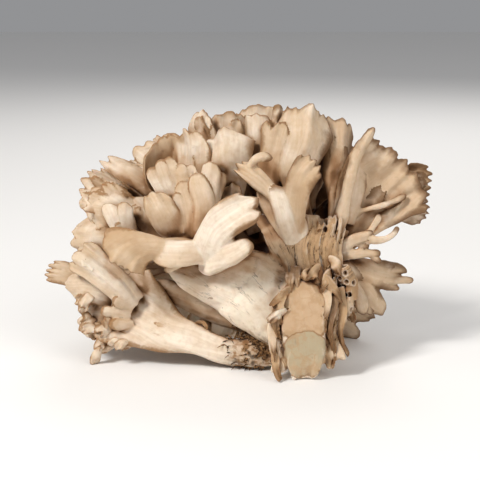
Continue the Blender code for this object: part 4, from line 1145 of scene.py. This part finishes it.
def shard(name, length, width, bend):
    """A small crooked spindle along X, mm, sharp at both ends."""
    steps, ring = 5, 5
    points = [(-length / 2, 0, 0)]
    for i in range(1, steps):
        share = i / steps
        reach = width / 2 * math.sin(math.pi * share) * (1.2 if i % 2 else 0.8)
        for k in range(ring):
            angle = 2 * math.pi * k / ring + i
            points.append(((share - 0.5) * length, reach * math.cos(angle),
                           reach * math.sin(angle) + bend * math.sin(math.pi * share)))
    points.append((length / 2, 0, 0))
    faces = [(0, 1 + (k + 1) % ring, 1 + k) for k in range(ring)]
    for i in range(steps - 2):
        for k in range(ring):
            a, b = 1 + i * ring + k, 1 + i * ring + (k + 1) % ring
            faces.append((a, b, b + ring, a + ring))
    last = len(points) - 1
    faces += [(last - ring + k, last - ring + (k + 1) % ring, last) for k in range(ring)]
    mesh = bpy.data.meshes.new(name)
    mesh.from_pydata([tuple(c * MM for c in p) for p in points], [], faces)
    return new_object(name, mesh)


def litter_matter(name, dark, light):
    """Dry dull stuff, each bit a little lighter or darker than the next."""
    material, tree, surface = matter(name, Roughness=0.85, Specular_IOR_Level=0.2)
    where = add_node(tree, "ShaderNodeTexCoord").outputs["Object"]
    tree.links.new(blend(tree, dark, light, clouds(tree, where, 600.0, 2.0, 0.4, 0.6)), surface["Base Color"])
    return material


def strew(name, ground, settings):
    """Strew bits over a flesh piece and keep them as a plain mesh."""
    piece = new_object(name, ground.data.copy())
    scatter = piece.modifiers.new("scatter", "NODES")
    scatter.node_group = strew_tree
    for key, value in settings.items():
        set_input(scatter, key, value)
    piece.data = baked(piece)
    flatten(piece.data)
    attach(piece, "root")


needle = shard("needle_shape", 7.0, 0.7, 0.8)
crumb = shard("crumb_shape", 2.2, 1.5, 0.1)
splinter = shard("splinter_shape", 6.0, 0.8, 0.5)
litter = litter_matter("forest_litter", UMBER, RUST)
bark_fibre = litter_matter("bark_fibre", BROWN, TAN)
stem_piece = pieces[0]
LYING, SLOPING, UPRIGHT = (1, 0, 0), (1, 0, 0.3), (0.1, 0.1, 1)   # which way the bits mostly point
# name, what it lies on, bit, middle and radius, mm, bits a square metre, grain, wildness, seed and matter
for name, ground, bit, centre, radius, density, grain, wildness, seed, stuff in (
        ("litter_crumbs_stem", stem_piece, crumb, (6, -40, 13), 15, 2.6e5, LYING, 3.0, 1, litter),
        ("litter_crumbs_limb", low_left_piece, crumb, (7, -46, 12), 13, 3.6e5, LYING, 3.0, 2, litter),
        ("litter_needles_stem", stem_piece, needle, (6, -40, 13), 17, 3.0e5, SLOPING, 1.2, 3, litter),
        ("litter_needles_limb", low_left_piece, needle, (6, -46, 13), 16, 5.0e5, SLOPING, 1.2, 4, litter),
        ("bark_splinters", stem_piece, splinter, (47, -52, 30), 17, 2.0e5, UPRIGHT, 0.5, 5, bark_fibre),
        ("column_splinters", stem_piece, splinter, (42, -38, 60), 20, 0.5e5, UPRIGHT, 0.4, 6, bark_fibre)):
    strew(name, ground, dict(Bit=bit, Centre=at(*centre), Radius=radius * MM, Density=density,
                                           Grain=grain, Wildness=wildness, Seed=seed, Matter=stuff))
for shape in (needle, crumb, splinter):
    bpy.data.objects.remove(shape)

# ---------------------------------------------------------------- how deep each place lies
# Each point of the whole cluster looks out along evenly spread directions and keeps the share of them that
# leave it, and how hollow the surface is around it.
# The skins paint shade where little sky is seen and in hollows, and a painted highlight on ridges.
RAYS = 16
LOOK = 0.035              # how far each looks, m
LIFT = 0.9                # how far above the flesh it starts, mm
sky_tree = bpy.data.node_groups.new("open sky", "GeometryNodeTree")
given, result = sockets(sky_tree, {"Shaded": "Geometry"}, Geometry="Geometry", Look=LOOK)
place = add_node(sky_tree, "GeometryNodeInputPosition").outputs[0]
outward = add_node(sky_tree, "GeometryNodeInputNormal").outputs[0]
start = vector_maths(sky_tree, "ADD", place, scaled(sky_tree, outward, LIFT * MM))
seen, weight = 0.0, 0.0
for k in range(RAYS):
    height = 1 - (2 * k + 1) / RAYS
    turn = k * math.pi * (3 - math.sqrt(5))
    ring = math.sqrt(1 - height * height)
    direction = (ring * math.cos(turn), ring * math.sin(turn), height)
    facing = maths(sky_tree, "MAXIMUM", vector_maths(sky_tree, "DOT_PRODUCT", outward, direction), 0.0)
    ray = add_node(sky_tree, "GeometryNodeRaycast",
                   {"Target Geometry": given["Geometry"], "Source Position": start,
                    "Ray Direction": direction, "Ray Length": given["Look"]})
    clear_way = maths(sky_tree, "SUBTRACT", 1.0, ray.outputs["Is Hit"])
    seen = maths(sky_tree, "ADD", times(sky_tree, clear_way, facing), seen)
    weight = maths(sky_tree, "ADD", facing, weight)
share = evened(sky_tree, maths(sky_tree, "DIVIDE", seen, weight), 2)
smoothed = evened(sky_tree, place, 3, "FLOAT_VECTOR")
hollow = vector_maths(sky_tree, "DOT_PRODUCT", vector_maths(sky_tree, "SUBTRACT", smoothed, place), outward)
shaded = store(sky_tree, given["Geometry"], "open", share)
shaded = store(sky_tree, shaded, "crease", maths(sky_tree, "DIVIDE", hollow, MM))
sky_tree.links.new(shaded, result["Shaded"])

joined = bmesh.new()
for piece in pieces:
    joined.from_mesh(piece.data)
cluster = new_object("cluster", bpy.data.meshes.new("cluster"))
joined.to_mesh(cluster.data)
joined.free()
cluster.modifiers.new("look", "NODES").node_group = sky_tree
looked = baked(cluster)
bpy.data.objects.remove(cluster)
for key in ("open", "crease"):
    seen_there = np.empty(len(looked.vertices), np.float32)
    looked.attributes[key].data.foreach_get("value", seen_there)
    first = 0
    for piece in pieces:
        last = first + len(piece.data.vertices)
        piece.data.attributes.new(key, "FLOAT", "POINT").data.foreach_set("value", seen_there[first:last])
        first = last
